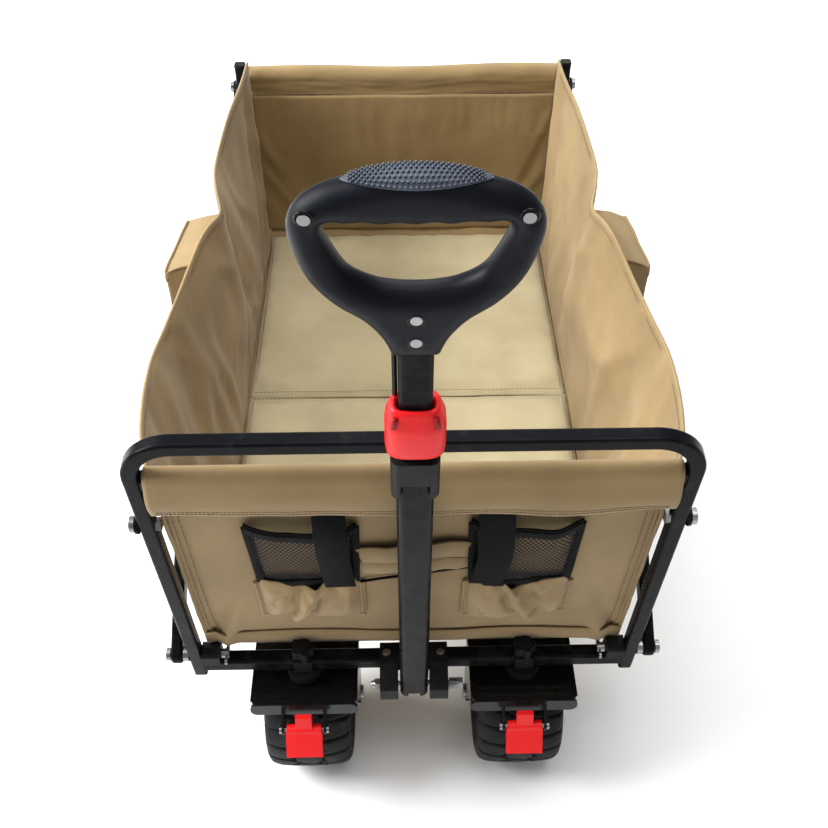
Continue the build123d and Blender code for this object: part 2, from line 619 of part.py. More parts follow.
for side, hand in ((-1, "left"), (1, "right")):
    x = side * caster_x
    with BuildPart() as fork:
        with BuildSketch(Plane(origin=(x, y_front + 7, fork_top - fork_plate))) as plate:
            RectangleRounded(130, 106, 12)
        extrude(plate.sketch, amount=fork_plate)
        for rib_y in (y_front - 26, y_front - 36):
            block(x - 58, x + 58, rib_y - 1.5, rib_y + 1.5, fork_top, fork_top + 2)
        with BuildSketch(Plane(origin=(x, y_front - 46, 180), x_dir=(1, 0, 0), z_dir=(0, -1, 0))) as flange:
            RectangleRounded(130, 22, 9)
        extrude(flange.sketch, amount=-4)
        for arm in (-65, 60):
            with BuildSketch(plane_x(x + arm)) as side_arm:
                with BuildLine():
                    Polyline((y_front - 40, fork_top), (y_front + 56, fork_top), (wheel_y + 13, tyre_r),
                             (wheel_y - 13, tyre_r), close=True)
                make_face()
                with Locations((wheel_y, tyre_r)):
                    Circle(14)
            extrude(side_arm.sketch, amount=5)
        for lug in (-27, 23.5):
            with BuildSketch(plane_x(x + lug)) as ear:
                with BuildLine():
                    Polyline((y_front - 45, 186), (y_front - 45, 156), (brake_y, brake_z - 6),
                             (brake_y, brake_z + 6),
                             close=True)
                make_face()
                with Locations((brake_y, brake_z)):
                    Circle(6)
            extrude(ear.sketch, amount=3.5)
        cyl_z(x, y_front, fork_top - 1, fork_top + 3.2, 16)
        cyl_x(x - 70, x + 70, wheel_y, tyre_r, axle_r + bolt_fit, Mode.SUBTRACT)
        cyl_x(x - 40, x + 40, brake_y, brake_z, 3 + bolt_fit, Mode.SUBTRACT)
        cyl_z(x, y_front, 180, 200, 5 + bolt_fit, Mode.SUBTRACT)
    save(fork, f"caster_fork_{hand}")

    with BuildPart() as fittings:
        cyl_x(x - 68, x + 68, wheel_y, tyre_r, axle_r)
        cyl_x(x - 68, x - 65, wheel_y, tyre_r, 9.5)
        cyl_x(x + 65, x + 68, wheel_y, tyre_r, 9.5)
        cyl_x(x - 30, x + 30, brake_y, brake_z, 3)
        cyl_x(x - 30, x - 27, brake_y, brake_z, 5)
        cyl_x(x + 27, x + 30, brake_y, brake_z, 5)
        cyl_z(x, y_front, fork_top - fork_plate - 1.5, 206, 5)
        cyl_z(x, y_front, fork_top - fork_plate - 2.5, fork_top - fork_plate, 9)
    save(fittings, f"caster_bolts_{hand}")

    with BuildPart() as pedal:
        cyl_x(x - 21, x + 21, brake_y, brake_z, 6.5)
        with BuildSketch(plane_x(x - 22)) as tread:
            with BuildLine():
                Polyline((brake_y - 5, brake_z + 3), (brake_y + 5, brake_z - 4), (brake_y - 17, brake_z - 32),
                         (brake_y - 23, brake_z - 27), close=True)
            make_face()
        extrude(tread.sketch, amount=44)
        with BuildSketch(plane_x(x - 10)) as neck:
            with BuildLine():
                Polyline((brake_y - 5, brake_z), (brake_y + 5, brake_z), (brake_y + 8, brake_z + 22),
                         (brake_y + 2, brake_z + 22), close=True)
            make_face()
        extrude(neck.sketch, amount=20)
        cyl_x(x - 40, x + 40, brake_y, brake_z, 3 + bolt_fit, Mode.SUBTRACT)
    save(pedal, f"brake_pedal_{hand}")


def wheel(name, x, y):
    """A tyre ring and the rim that carries it, turning about X at (y, tyre_r)."""
    axis = Axis((x, y, tyre_r), (1, 0, 0))
    wheel_plane = Plane(origin=(x, y, tyre_r), x_dir=(1, 0, 0), z_dir=(0, -1, 0))
    with BuildPart() as tyre:
        with BuildSketch(wheel_plane) as section:
            with BuildLine():
                Polyline((-46, 58), (-tyre_half, 70), (-tyre_half + 2, 82), (-42, 90), (-24, tyre_r),
                         (24, tyre_r),
                         (42, 90), (tyre_half - 2, 82), (tyre_half, 70), (46, 58), close=True)
            make_face()
        revolve(section.sketch, axis=axis)
    save(tyre, f"tyre_{name}")
    with BuildPart() as rim:
        with BuildSketch(wheel_plane) as rim_section:
            with BuildLine():
                Polyline((-47, 54), (-50, 58), (-46, 58), (46, 58), (50, 58), (47, 54), (10, 50), (10, 22),
                         (hub_half, 18), (hub_half, axle_r + 0.08), (-hub_half, axle_r + 0.08), (-hub_half, 18),
                         (-10, 22), (-10, 50), close=True)
            make_face()
        revolve(rim_section.sketch, axis=axis)
    save(rim, f"rim_{name}")


wheel("front_left", -caster_x, wheel_y)
wheel("front_right", caster_x, wheel_y)
wheel("rear_left", -rear_wheel_x, y_rear)
wheel("rear_right", rear_wheel_x, y_rear)
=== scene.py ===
import json
from math import copysign, cos, exp, pi, radians, sin, sqrt

import bmesh
import bpy
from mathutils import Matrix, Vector, geometry, noise


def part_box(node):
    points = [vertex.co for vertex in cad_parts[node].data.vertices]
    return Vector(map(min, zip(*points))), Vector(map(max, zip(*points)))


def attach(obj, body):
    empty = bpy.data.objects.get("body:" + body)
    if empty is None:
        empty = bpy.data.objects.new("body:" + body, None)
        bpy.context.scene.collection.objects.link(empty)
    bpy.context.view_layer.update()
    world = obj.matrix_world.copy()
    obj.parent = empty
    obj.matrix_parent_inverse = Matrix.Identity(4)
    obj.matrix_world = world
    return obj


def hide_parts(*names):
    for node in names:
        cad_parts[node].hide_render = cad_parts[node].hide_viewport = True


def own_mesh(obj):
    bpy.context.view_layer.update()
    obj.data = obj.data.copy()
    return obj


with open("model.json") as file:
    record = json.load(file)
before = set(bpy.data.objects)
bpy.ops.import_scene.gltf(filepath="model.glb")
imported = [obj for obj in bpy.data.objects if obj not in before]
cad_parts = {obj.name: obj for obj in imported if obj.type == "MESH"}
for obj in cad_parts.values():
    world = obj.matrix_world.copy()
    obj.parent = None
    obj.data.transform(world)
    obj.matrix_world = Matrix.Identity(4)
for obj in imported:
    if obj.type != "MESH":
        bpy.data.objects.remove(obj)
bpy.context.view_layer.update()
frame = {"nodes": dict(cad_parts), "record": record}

scene = bpy.context.scene

# ---------------------------------------------------------------- places read from the frame
JOINTS = {j["name"]: j for j in frame["record"]["behaviour"]["joints"]}
y_rear = JOINTS["fold"]["pos_m"][1]
y_front = JOINTS["front_frame_turn"]["pos_m"][1]
y_middle = (y_front + y_rear) / 2
pivot = Vector(JOINTS["handle_tilt"]["pos_m"])
handle_up = Vector(JOINTS["handle_extend"]["axis"])
handle_front = Vector((0, -handle_up.z, handle_up.y))
SIDES = ((-1, "left"), (1, "right"))


def middle_of(node):
    low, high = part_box(node)
    return (Vector(low) + Vector(high)) / 2


def on_handle(x, depth, height):
    """x across, depth forwards, height along the handle from its pivot."""
    return pivot + Vector((x, 0, 0)) + handle_front * depth + handle_up * height


# ---------------------------------------------------------------- materials
def new_material(name, color, roughness, metallic=0.0):
    mat = bpy.data.materials.new(name)
    mat.use_nodes = True
    bsdf = mat.node_tree.nodes["Principled BSDF"]
    bsdf.inputs["Base Color"].default_value = (*color, 1)
    bsdf.inputs["Roughness"].default_value = roughness
    bsdf.inputs["Metallic"].default_value = metallic
    return mat, mat.node_tree, bsdf


def noise_node(tree, scale, detail=3.0, rough=0.5):
    tex = tree.nodes.new("ShaderNodeTexNoise")
    tex.inputs["Scale"].default_value = scale
    tex.inputs["Detail"].default_value = detail
    tex.inputs["Roughness"].default_value = rough
    coords = tree.nodes.new("ShaderNodeTexCoord")
    tree.links.new(coords.outputs["Object"], tex.inputs["Vector"])
    return tex.outputs["Fac"]


def ramp(tree, fac, low, high, c0, c1):
    node = tree.nodes.new("ShaderNodeValToRGB")
    for element, place, color in zip(node.color_ramp.elements, (low, high), (c0, c1)):
        element.position = place
        element.color = (*color, 1)
    tree.links.new(fac, node.inputs["Fac"])
    return node.outputs["Color"]


def grey(value):
    return (value, value, value)


def feed(tree, socket, value):
    """Gives a socket a number, a colour or the output of another node."""
    if isinstance(value, tuple):
        socket.default_value = (*value, 1)
    elif isinstance(value, (int, float)):
        socket.default_value = value
    elif value is not None:
        tree.links.new(value, socket)


def math_node(tree, operation, a, b=None):
    node = tree.nodes.new("ShaderNodeMath")
    node.operation = operation
    feed(tree, node.inputs[0], a)
    feed(tree, node.inputs[1], b)
    return node.outputs["Value"]


def bump(tree, height, strength, distance, normal=None):
    node = tree.nodes.new("ShaderNodeBump")
    node.inputs["Strength"].default_value = strength
    node.inputs["Distance"].default_value = distance
    tree.links.new(height, node.inputs["Height"])
    if normal is not None:
        tree.links.new(normal, node.inputs["Normal"])
    return node.outputs["Normal"]


def rounded_normal(tree, radius):
    node = tree.nodes.new("ShaderNodeBevel")
    node.samples = 4
    node.inputs["Radius"].default_value = radius
    return node.outputs["Normal"]


def mixed(tree, fac, a, b, blend="MIX"):
    """Mixes two colours; sockets 6 and 7 are the colour inputs of the mix node, output 2 is its colour."""
    node = tree.nodes.new("ShaderNodeMix")
    node.data_type = "RGBA"
    node.blend_type = blend
    feed(tree, node.inputs["Factor"], fac)
    feed(tree, node.inputs[6], a)
    feed(tree, node.inputs[7], b)
    return node.outputs[2]


def object_axes(tree):
    """The object's own X, Y and Z as three outputs."""
    coords = tree.nodes.new("ShaderNodeTexCoord")
    split = tree.nodes.new("ShaderNodeSeparateXYZ")
    tree.links.new(coords.outputs["Object"], split.inputs["Vector"])
    return split.outputs


def hard_material(name, color, light, roughness, metallic=0.0, grain=900.0, grain_depth=0.00006, edge=0.0008,
                  wear=None, specular=0.5):
    """A moulded or painted surface: fine grain, uneven gloss and slightly worn, rounded edges."""
    mat, tree, bsdf = new_material(name, color, roughness, metallic)
    cloud = noise_node(tree, 14.0, 4.0)
    tone = ramp(tree, cloud, 0.35, 0.7, color, light)
    if wear is not None:
        shape = tree.nodes.new("ShaderNodeNewGeometry")
        patches = noise_node(tree, 60.0, 5.0)
        worn = math_node(tree, "MULTIPLY", patches, shape.outputs["Pointiness"])
        tone = mixed(tree, ramp(tree, worn, 0.30, 0.36, grey(0.0), grey(0.6)), tone, wear)
    tree.links.new(tone, bsdf.inputs["Base Color"])
    smudge = ramp(tree, noise_node(tree, 30.0, 5.0), 0.3, 0.75, grey(roughness * 0.82),
                  grey(min(1.0, roughness * 1.25)))
    tree.links.new(smudge, bsdf.inputs["Roughness"])
    fine = noise_node(tree, grain, 2.0)
    tree.links.new(bump(tree, fine, 0.5, grain_depth, rounded_normal(tree, edge)), bsdf.inputs["Normal"])
    bsdf.inputs["Specular IOR Level"].default_value = specular
    return mat


def weave_height(tree, axes, pitch):
    """Crossed threads, over and under, on the plane of two object axes."""
    place = object_axes(tree)
    threads = []
    for axis in axes:
        turned = math_node(tree, "MULTIPLY", place[axis], 2 * pi / pitch)
        threads.append(math_node(tree, "SINE", turned))
    return math_node(tree, "MULTIPLY", threads[0], threads[1])


def fabric_material(name, dark, light, axes, pitch=0.0024, roughness=0.82, sheen=0.15, specular=0.35):
    """Coated oxford cloth: a fine basket weave, soft mottling and shallow creases."""
    mat, tree, bsdf = new_material(name, light, roughness)
    mottle = noise_node(tree, 9.0, 5.0, rough=0.55)
    tone = ramp(tree, mottle, 0.32, 0.68, dark, light)
    weave = weave_height(tree, axes, pitch)
    # the weave's low places are up to 7 % darker: painted shade between the threads
    shade = ramp(tree, weave, 0.0, 1.0, grey(0.93), grey(1.0))
    tree.links.new(mixed(tree, 1.0, tone, shade, "MULTIPLY"), bsdf.inputs["Base Color"])
    tree.links.new(ramp(tree, mottle, 0.2, 0.8, grey(roughness * 0.85), grey(min(1.0, roughness * 1.1))),
              bsdf.inputs["Roughness"])
    crease = bump(tree, noise_node(tree, 16.0, 4.0, rough=0.6), 0.35, 0.004)
    tree.links.new(bump(tree, weave, 0.25, 0.00025, crease), bsdf.inputs["Normal"])
    bsdf.inputs["Sheen Weight"].default_value = sheen
    bsdf.inputs["Specular IOR Level"].default_value = specular
    bsdf.inputs["Sheen Roughness"].default_value = 0.5
    return mat


def net_material(name, color, pitch=0.0052):
    """Knitted netting: black yarn round diamond holes that light passes through."""
    mat, tree, bsdf = new_material(name, color, 0.7)
    place = object_axes(tree)
    tall = math_node(tree, "MULTIPLY", place["Z"], 0.75)
    waves = []
    for operation in ("ADD", "SUBTRACT"):
        slanted = math_node(tree, operation, place["X"], tall)
        turned = math_node(tree, "MULTIPLY", slanted, pi / pitch)
        waves.append(math_node(tree, "ABSOLUTE", math_node(tree, "SINE", turned)))
    hole = math_node(tree, "MULTIPLY", waves[0], waves[1])
    solid = math_node(tree, "LESS_THAN", hole, 0.40)
    tree.links.new(solid, bsdf.inputs["Alpha"])
    tone = ramp(tree, noise_node(tree, 300.0, 2.0), 0.3, 0.7, color, grey(0.009))
    tree.links.new(tone, bsdf.inputs["Base Color"])
    tree.links.new(bump(tree, hole, 0.4, 0.0006), bsdf.inputs["Normal"])
    bsdf.inputs["Specular IOR Level"].default_value = 0.15
    return mat


TAN_DARK, TAN_LIGHT = (0.216, 0.144, 0.058), (0.288, 0.199, 0.088)
MAT_DARK, MAT_LIGHT = (0.385, 0.325, 0.19), (0.485, 0.415, 0.255)
paint = hard_material("black_paint", (0.0025, 0.003, 0.004), (0.0045, 0.005, 0.0065), 0.30, grain=1400,
                      grain_depth=0.00001, wear=grey(0.012), specular=0.05)
plastic = hard_material("black_plastic", grey(0.005), grey(0.008), 0.48, grain=1800, wear=grey(0.012),
                        specular=0.1)
gloss = hard_material("gloss_black", grey(0.0035), grey(0.006), 0.2, grain=300, grain_depth=0.00002,
                      specular=0.15)
zinc = hard_material("zinc", grey(0.20), grey(0.32), 0.32, metallic=1.0, grain=500, edge=0.0005)
red = hard_material("red_plastic", (0.66, 0.006, 0.008), (0.74, 0.010, 0.012), 0.4, grain=1500,
                    grain_depth=0.00003, edge=0.0015, specular=0.22)
# a darker copy of the red plastic, used only on the collar's notches: painted shade for their shadowed
# insides
red_painted_shade = hard_material("red_painted_shade", (0.20, 0.004, 0.004), (0.26, 0.006, 0.006), 0.5, grain=1500,
                          specular=0.2)
soft_black = hard_material("soft_grip", (0.003, 0.004, 0.007), (0.006, 0.007, 0.011), 0.42, grain=2200,
                           grain_depth=0.00002, edge=0.002, specular=0.10)
pad_rubber = hard_material("grip_pad", (0.030, 0.040, 0.062), (0.045, 0.058, 0.085), 0.5, grain=1600)
rubber = hard_material("tyre", grey(0.007), grey(0.014), 0.7, grain=700, grain_depth=0.00012, specular=0.2)
tan_front = fabric_material("tan_front", TAN_DARK, TAN_LIGHT, ("X", "Z"))
tan_side = fabric_material("tan_side", TAN_DARK, TAN_LIGHT, ("Y", "Z"))
tan_bottom = fabric_material("tan_bottom", TAN_DARK, TAN_LIGHT, ("X", "Y"))
mat_cloth = fabric_material("mat_cloth", MAT_DARK, MAT_LIGHT, ("X", "Y"))
board_cloth = fabric_material("board_cloth", (0.26, 0.19, 0.10), (0.33, 0.245, 0.135), ("X", "Y"))
webbing = fabric_material("webbing", grey(0.002), grey(0.005), ("X", "Z"), pitch=0.004, roughness=0.7,
                          sheen=0.0, specular=0.06)
netting = net_material("netting", grey(0.002))
thread = fabric_material("thread", (0.17, 0.11, 0.05), (0.26, 0.18, 0.09), ("X", "Z"), pitch=0.0015)

SLOT_LOOKS = {"black_paint": paint, "black_plastic": plastic, "gloss_black": gloss, "zinc": zinc,
              "red_plastic": red, "soft_grip": soft_black, "tyre": rubber, "tan_fabric": tan_front,
              "mat_fabric": mat_cloth, "black_mesh": netting, "board": board_cloth}
for part in frame["record"]["subparts"]:
    node = frame["nodes"].get(part["node"])
    if node is not None:
        node.data.materials.clear()
        node.data.materials.append(SLOT_LOOKS[part["material_slot"]])


# ---------------------------------------------------------------- mesh helpers
def make_object(name, verts, faces, look):
    mesh = bpy.data.meshes.new(name)
    mesh.from_pydata([tuple(v) for v in verts], [], faces)
    mesh.validate()
    mesh.update()
    mesh.materials.append(look)
    for face in mesh.polygons:
        face.use_smooth = True
    piece = bpy.data.objects.new(name, mesh)
    scene.collection.objects.link(piece)
    return piece


def grid(name, point, nu, nv, look, closed=False):
    """A surface through point(u, v), u and v from 0 to 1; closed joins the last column to the first."""
    columns = nu if closed else nu + 1
    verts = [point(i / nu, j / nv) for i in range(columns) for j in range(nv + 1)]
    faces = []
    for i in range(nu):
        a, b = i * (nv + 1), ((i + 1) % columns) * (nv + 1)
        faces += [(a + j, b + j, b + j + 1, a + j + 1) for j in range(nv)]
    return make_object(name, verts, faces, look)


def bake_modifiers(piece):
    """Makes the evaluated shape the piece's own mesh."""
    depsgraph = bpy.context.evaluated_depsgraph_get()
    final = bpy.data.meshes.new_from_object(piece.evaluated_get(depsgraph))
    piece.modifiers.clear()
    piece.data = final
    return piece


def thicken(piece, thickness, offset=0.0):
    shell = piece.modifiers.new("thickness", "SOLIDIFY")
    shell.thickness = thickness
    shell.offset = offset
    return bake_modifiers(piece)


def finish_piece(piece, body, replaced=()):
    """Lets a piece ride a body and hides the CAD nodes it stands for."""
    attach(piece, body)
    if replaced:
        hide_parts(*replaced)
    return piece


def tube_faces(base, count, rings, closed=False):
    """The faces round a tube whose rings of vertices start at base, and its two ends unless it is closed."""
    faces = []
    for r in range(rings if closed else rings - 1):
        a, b = base + r * count, base + (r + 1) % rings * count
        faces += [(a + k, a + (k + 1) % count, b + (k + 1) % count, b + k) for k in range(count)]
    if not closed:
        first, last = range(base, base + count), range(base + (rings - 1) * count, base + rings * count)
        faces += [tuple(first)[::-1], tuple(last)]
    return faces


def sweep(name, points, section, look, across=None, closed_path=False):
    """Carries a closed section [(a, b), ...] along points; across fixes the direction of a."""
    pts = [Vector(p) for p in points]
    rings, verts, side = len(pts), [], None
    for i, p in enumerate(pts):
        before = pts[i - 1] if (i or closed_path) else p
        after = pts[(i + 1) % rings] if (i < rings - 1 or closed_path) else p
        along = (after - before).normalized()
        if across is not None:
            side = Vector(across)
        elif side is None:
            side = along.orthogonal()
        side = (side - along * side.dot(along)).normalized()
        other = along.cross(side)
        verts += [p + side * a + other * b for a, b in section]
    return make_object(name, verts, tube_faces(0, len(section), rings, closed_path), look)


def ring_section(radius, sides=8):
    return [(radius * cos(2 * pi * k / sides), radius * sin(2 * pi * k / sides)) for k in range(sides)]


def flat_section(width, thickness):
    w, t = width / 2, thickness / 2
    c = t * 0.6
    half = [(-w, -t + c), (-w + c, -t), (w - c, -t), (w, -t + c)]
    return half + [(-a, -b) for a, b in half]


def joined(name, pieces):
    """One object from several, with their materials kept."""
    built = bmesh.new()
    looks = []
    for piece in pieces:
        first = len(built.faces)
        for look in piece.data.materials:
            if look not in looks:
                looks.append(look)
        built.from_mesh(piece.data)
        built.faces.ensure_lookup_table()
        for face in built.faces[first:]:
            face.material_index = looks.index(piece.data.materials[face.material_index])
    mesh = bpy.data.meshes.new(name)
    built.to_mesh(mesh)
    built.free()
    for look in looks:
        mesh.materials.append(look)
    for piece in pieces:
        bpy.data.objects.remove(piece)
    whole = bpy.data.objects.new(name, mesh)
    scene.collection.objects.link(whole)
    return whole


def smooth_curve(points, steps=10):
    """Catmull-Rom through points of any length."""
    pts = [tuple(p) for p in points]
    padded = pts[:1] + pts + pts[-1:]
    out = []
    for i in range(1, len(padded) - 2):
        p0, p1, p2, p3 = padded[i - 1:i + 3]
        for s in range(steps):
            t = s / steps
            out.append(tuple(0.5 * (2 * b + (c - a) * t + (2 * a - 5 * b + 4 * c - d) * t ** 2
                                    + (3 * b - a - 3 * c + d) * t ** 3)
                             for a, b, c, d in zip(p0, p1, p2, p3)))
    out.append(pts[-1])
    return out


def stitches(name, points, normal, pitch=0.0062, length=0.0042, radius=0.00055):
    """A running stitch: short thread humps laid along points, standing on the cloth."""
    pts = [Vector(p) for p in points]
    legs = [(b - a).length for a, b in zip(pts, pts[1:])]
    total, verts, faces = sum(legs), [], []
    section = ring_section(radius, 6)
    out = Vector(normal)

    def at(distance):
        for a, b, leg in zip(pts, pts[1:], legs):
            if distance <= leg:
                return a.lerp(b, distance / max(leg, 1e-9))
            distance -= leg
        return pts[-1]

    for n in range(int(total / pitch)):
        start = n * pitch
        for t, lift in ((0.0, -0.6), (0.2, 0.3), (0.8, 0.3), (1.0, -0.6)):
            p = at(start + t * length) + out * radius * lift
            along = (at(start + length) - at(start)).normalized()
            side = along.cross(out).normalized()
            verts += [p + side * a + out * b for a, b in section]
        faces += tube_faces(len(verts) - 4 * len(section), len(section), 4)
    return make_object(name, verts, faces, thread)


def clamp(value, low, high):
    return max(low, min(high, value))


def settle(piece, held, frames, cap, away, gravity, **options):
    """A short cloth simulation with held vertices; none moves more than cap, and none along away."""
    rest = [v.co.copy() for v in piece.data.vertices]
    group = piece.vertex_groups.new(name="held")
    group.add([i for i, co in enumerate(rest) if held(i, co)], 1.0, "REPLACE")
    cloth = piece.modifiers.new("cloth", "CLOTH")
    cloth.settings.quality = 5
    cloth.settings.vertex_group_mass = "held"
    cloth.settings.effector_weights.gravity = gravity
    for option, value in options.items():
        setattr(cloth.settings, option, value)
    cloth.point_cache.frame_start = 1
    cloth.point_cache.frame_end = frames
    for step in range(1, frames + 1):
        scene.frame_set(step)
    bake_modifiers(piece)
    for v, start in zip(piece.data.vertices, rest):
        shift = v.co - start
        shift -= away * max(0.0, shift.dot(away))
        v.co = start + shift * min(1.0, cap / max(shift.length, 1e-9))
    piece.data.update()
    scene.frame_set(1)


def border_of(cols, rows):
    """Tells the vertices on the border of a grid."""
    return lambda i, co: i % (rows + 1) in (0, rows) or i < rows + 1 or i >= cols * (rows + 1)


def relax(piece, held, grow, frames, cap, away, gravity=0.4):
    """Lets cloth that is a little larger than its frame buckle into place."""
    settle(piece, held, frames, cap, away, gravity, mass=0.25, tension_stiffness=12, compression_stiffness=12,
           shear_stiffness=6, bending_stiffness=0.6, shrink_min=-grow)


def crumple(p, scale, height, seed):
    """A soft repeatable bump field for cloth whose shape is given."""
    q = Vector(p) * scale + Vector((seed * 7.3, seed * 3.1, seed * 5.7))
    return height * (noise.noise(q) + 0.5 * noise.noise(q * 2.3))


# ---------------------------------------------------------------- tub: front wall
rim_low, rim_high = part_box("front_rim_bar")
rim_y, rim_z = (rim_low[1] + rim_high[1]) / 2, (rim_low[2] + rim_high[2]) / 2
wall_foot_y, wall_foot_z = y_front + 0.012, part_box("front_wall")[0][2]
WALL_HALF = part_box("front_wall")[1][0]
sleeve_low_z = rim_z - 0.037
wall_top_y = rim_y + 0.009
wall_slope = (wall_top_y - wall_foot_y) / (sleeve_low_z - wall_foot_z)
wall_normal = Vector((0, -1, wall_slope)).normalized()
WALL_UP = (0, wall_slope, 1)
CLOTH, HEM_CLOTH = 0.0014, 0.0016


def belly(x, z):
    """How far the front wall's cloth stands out at one place, with a leaning fold at each lower corner."""
    edge = 1 - min(1.0, abs(x) / WALL_HALF) ** 6
    v = clamp((z - wall_foot_z) / (sleeve_low_z + 0.02 - wall_foot_z), 0.0, 1.0)
    across = abs(x) - (WALL_HALF - 0.022 - 0.34 * (z - wall_foot_z))
    fold = 0.010 * exp(-(across / 0.008) ** 2) - 0.007 * exp(-((across - 0.017) / 0.008) ** 2)
    fold *= exp(-v / 0.26) * min(1.0, 14 * v) * min(1.0, (WALL_HALF - abs(x)) / 0.012)
    return (0.006 * sin(pi * v) + crumple((x, 0, z), 7.0, 0.004, 1)) * edge + fold


def on_wall(x, z, out=0.0):
    foot = Vector((x, wall_foot_y + wall_slope * (z - wall_foot_z), z))
    return foot + wall_normal * (out + belly(x, z))


def front_wall_point(u, v):
    return on_wall((2 * u - 1) * WALL_HALF, wall_foot_z + (sleeve_low_z + 0.02 - wall_foot_z) * v)


front_wall = grid("front_wall_cloth", front_wall_point, 84, 52, tan_front)
relax(front_wall, border_of(84, 52), 0.006, 22, 0.006, wall_normal)
thicken(front_wall, CLOTH)
finish_piece(front_wall, "front_frame", replaced=("front_wall",))

# the hem pocket round the rim bar: over the bar, down behind and in front, open at both ends
SLEEVE_HALF, SLEEVE_REACH = 0.2515, 0.0115


def sleeve_point(u, v):
    """u along the bar, v round the hem from its back foot over the bar to its front foot."""
    x = (2 * u - 1) * SLEEVE_HALF
    end = abs(2 * u - 1)
    reach = SLEEVE_REACH
    drop = rim_z - sleeve_low_z
    if v < 0.35:
        t = v / 0.35
        y, z = rim_y + reach * (0.75 + 0.25 * t), sleeve_low_z + drop * t
    elif v < 0.65:
        a = pi * (v - 0.35) / 0.30
        y, z = rim_y + reach * cos(a), rim_z + reach * 1.25 * sin(a)
    else:
        t = (v - 0.65) / 0.35
        y, z = rim_y - reach * (1.0 - 0.1 * t + 0.35 * sin(pi * t)), rim_z - (drop + 0.004) * t
    front = max(0.0, (v - 0.55) / 0.45)
    wave = crumple((x, 0.3 * v, z), 9.0, 0.0035, 3) * front
    droop = 0.0016 * sin(7.0 * u + 1.0) * front
    lift = 0.006 * exp(-((u - 0.80) / 0.09) ** 2) * front
    return Vector((x * (1 - 0.004 * end), y - wave - lift, z + droop))


sleeve = grid("front_hem_pocket", sleeve_point, 110, 48, tan_front)
thicken(sleeve, HEM_CLOTH)
finish_piece(sleeve, "front_frame")

for number, v in enumerate((0.965, 0.925)):
    line = [sleeve_point(u / 80, v) + Vector((0, -0.0012, 0)) for u in range(1, 80)]
    seam = stitches(f"hem_stitch_{number}", line, (0, -1, 0.1), 0.0040, 0.0030, 0.00032)
    finish_piece(seam, "front_frame")

# piping and double seams down both edges and along the foot of the front wall
heights = [wall_foot_z + (sleeve_low_z - wall_foot_z) * t / 30 for t in range(31)]
for side, hand in SIDES:
    edge_line = [on_wall(side * (WALL_HALF - 0.001), z, 0.001 + crumple((0, 0, t * 0.05), 6.0, 0.002, 5))
                 for t, z in enumerate(heights)]
    piping = sweep(f"corner_piping_{hand}", edge_line, ring_section(0.0026), tan_front)
    finish_piece(piping, "front_frame")
    for number, inset in enumerate((0.009, 0.016)):
        line = [on_wall(side * (WALL_HALF - inset), z, 0.0032) for z in heights]
        seam = stitches(f"corner_stitch_{hand}_{number}", line, wall_normal)
        finish_piece(seam, "front_frame")

foot_line = [on_wall(n * WALL_HALF / 20, wall_foot_z + 0.011,
                     0.0035 + crumple((n * 0.02, 0, 0), 8.0, 0.001, 6)) for n in range(-20, 21)]
foot_band = sweep("front_foot_band", foot_line, flat_section(0.026, 0.0022), tan_front, across=WALL_UP)
finish_piece(foot_band, "front_frame")

# ---------------------------------------------------------------- tub: side walls
FLOOR_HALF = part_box("floor_mat_front")[1][0] + 0.006
side_low_z, side_high_z = (corner[2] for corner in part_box("side_wall_left"))
TUB_LENGTH = (y_rear - 0.012) - y_front
SEAM = 0.0135
SIDE_END = y_rear - SEAM
# half width of the rim along the tub, from the front corner to the rear corner
RIM_SHAPE = smooth_curve([(0.0, 0.248), (0.05, 0.262), (0.12, 0.2725), (0.20, 0.2785), (0.27, 0.2765),
                          (0.36, 0.269), (0.45, 0.2585), (0.50, 0.250), (0.54, 0.2425), (0.59, 0.2525),
                          (0.66, 0.262), (0.78, 0.2585), (0.90, 0.251), (1.0, 0.2475)], 3)
NOTCH = 0.54
RIM_RISE = 0.034


def rim_half(u):
    for (u0, h0), (u1, h1) in zip(RIM_SHAPE, RIM_SHAPE[1:]):
        if u <= u1:
            return h0 + (h1 - h0) * (u - u0) / max(u1 - u0, 1e-9)
    return RIM_SHAPE[-1][1]


# folds down the side walls: place along the tub, slant, width and height
CREASES = ((0.10, 0.05, 0.018, 0.0050), (0.155, 0.09, 0.022, -0.0055), (0.24, 0.06, 0.03, 0.0040),
           (0.33, -0.05, 0.02, -0.0040), (0.62, -0.10, 0.022, 0.0045), (0.70, -0.16, 0.03, -0.0050),
           (0.88, 0.12, 0.022, 0.0060), (0.94, 0.07, 0.016, -0.0050))


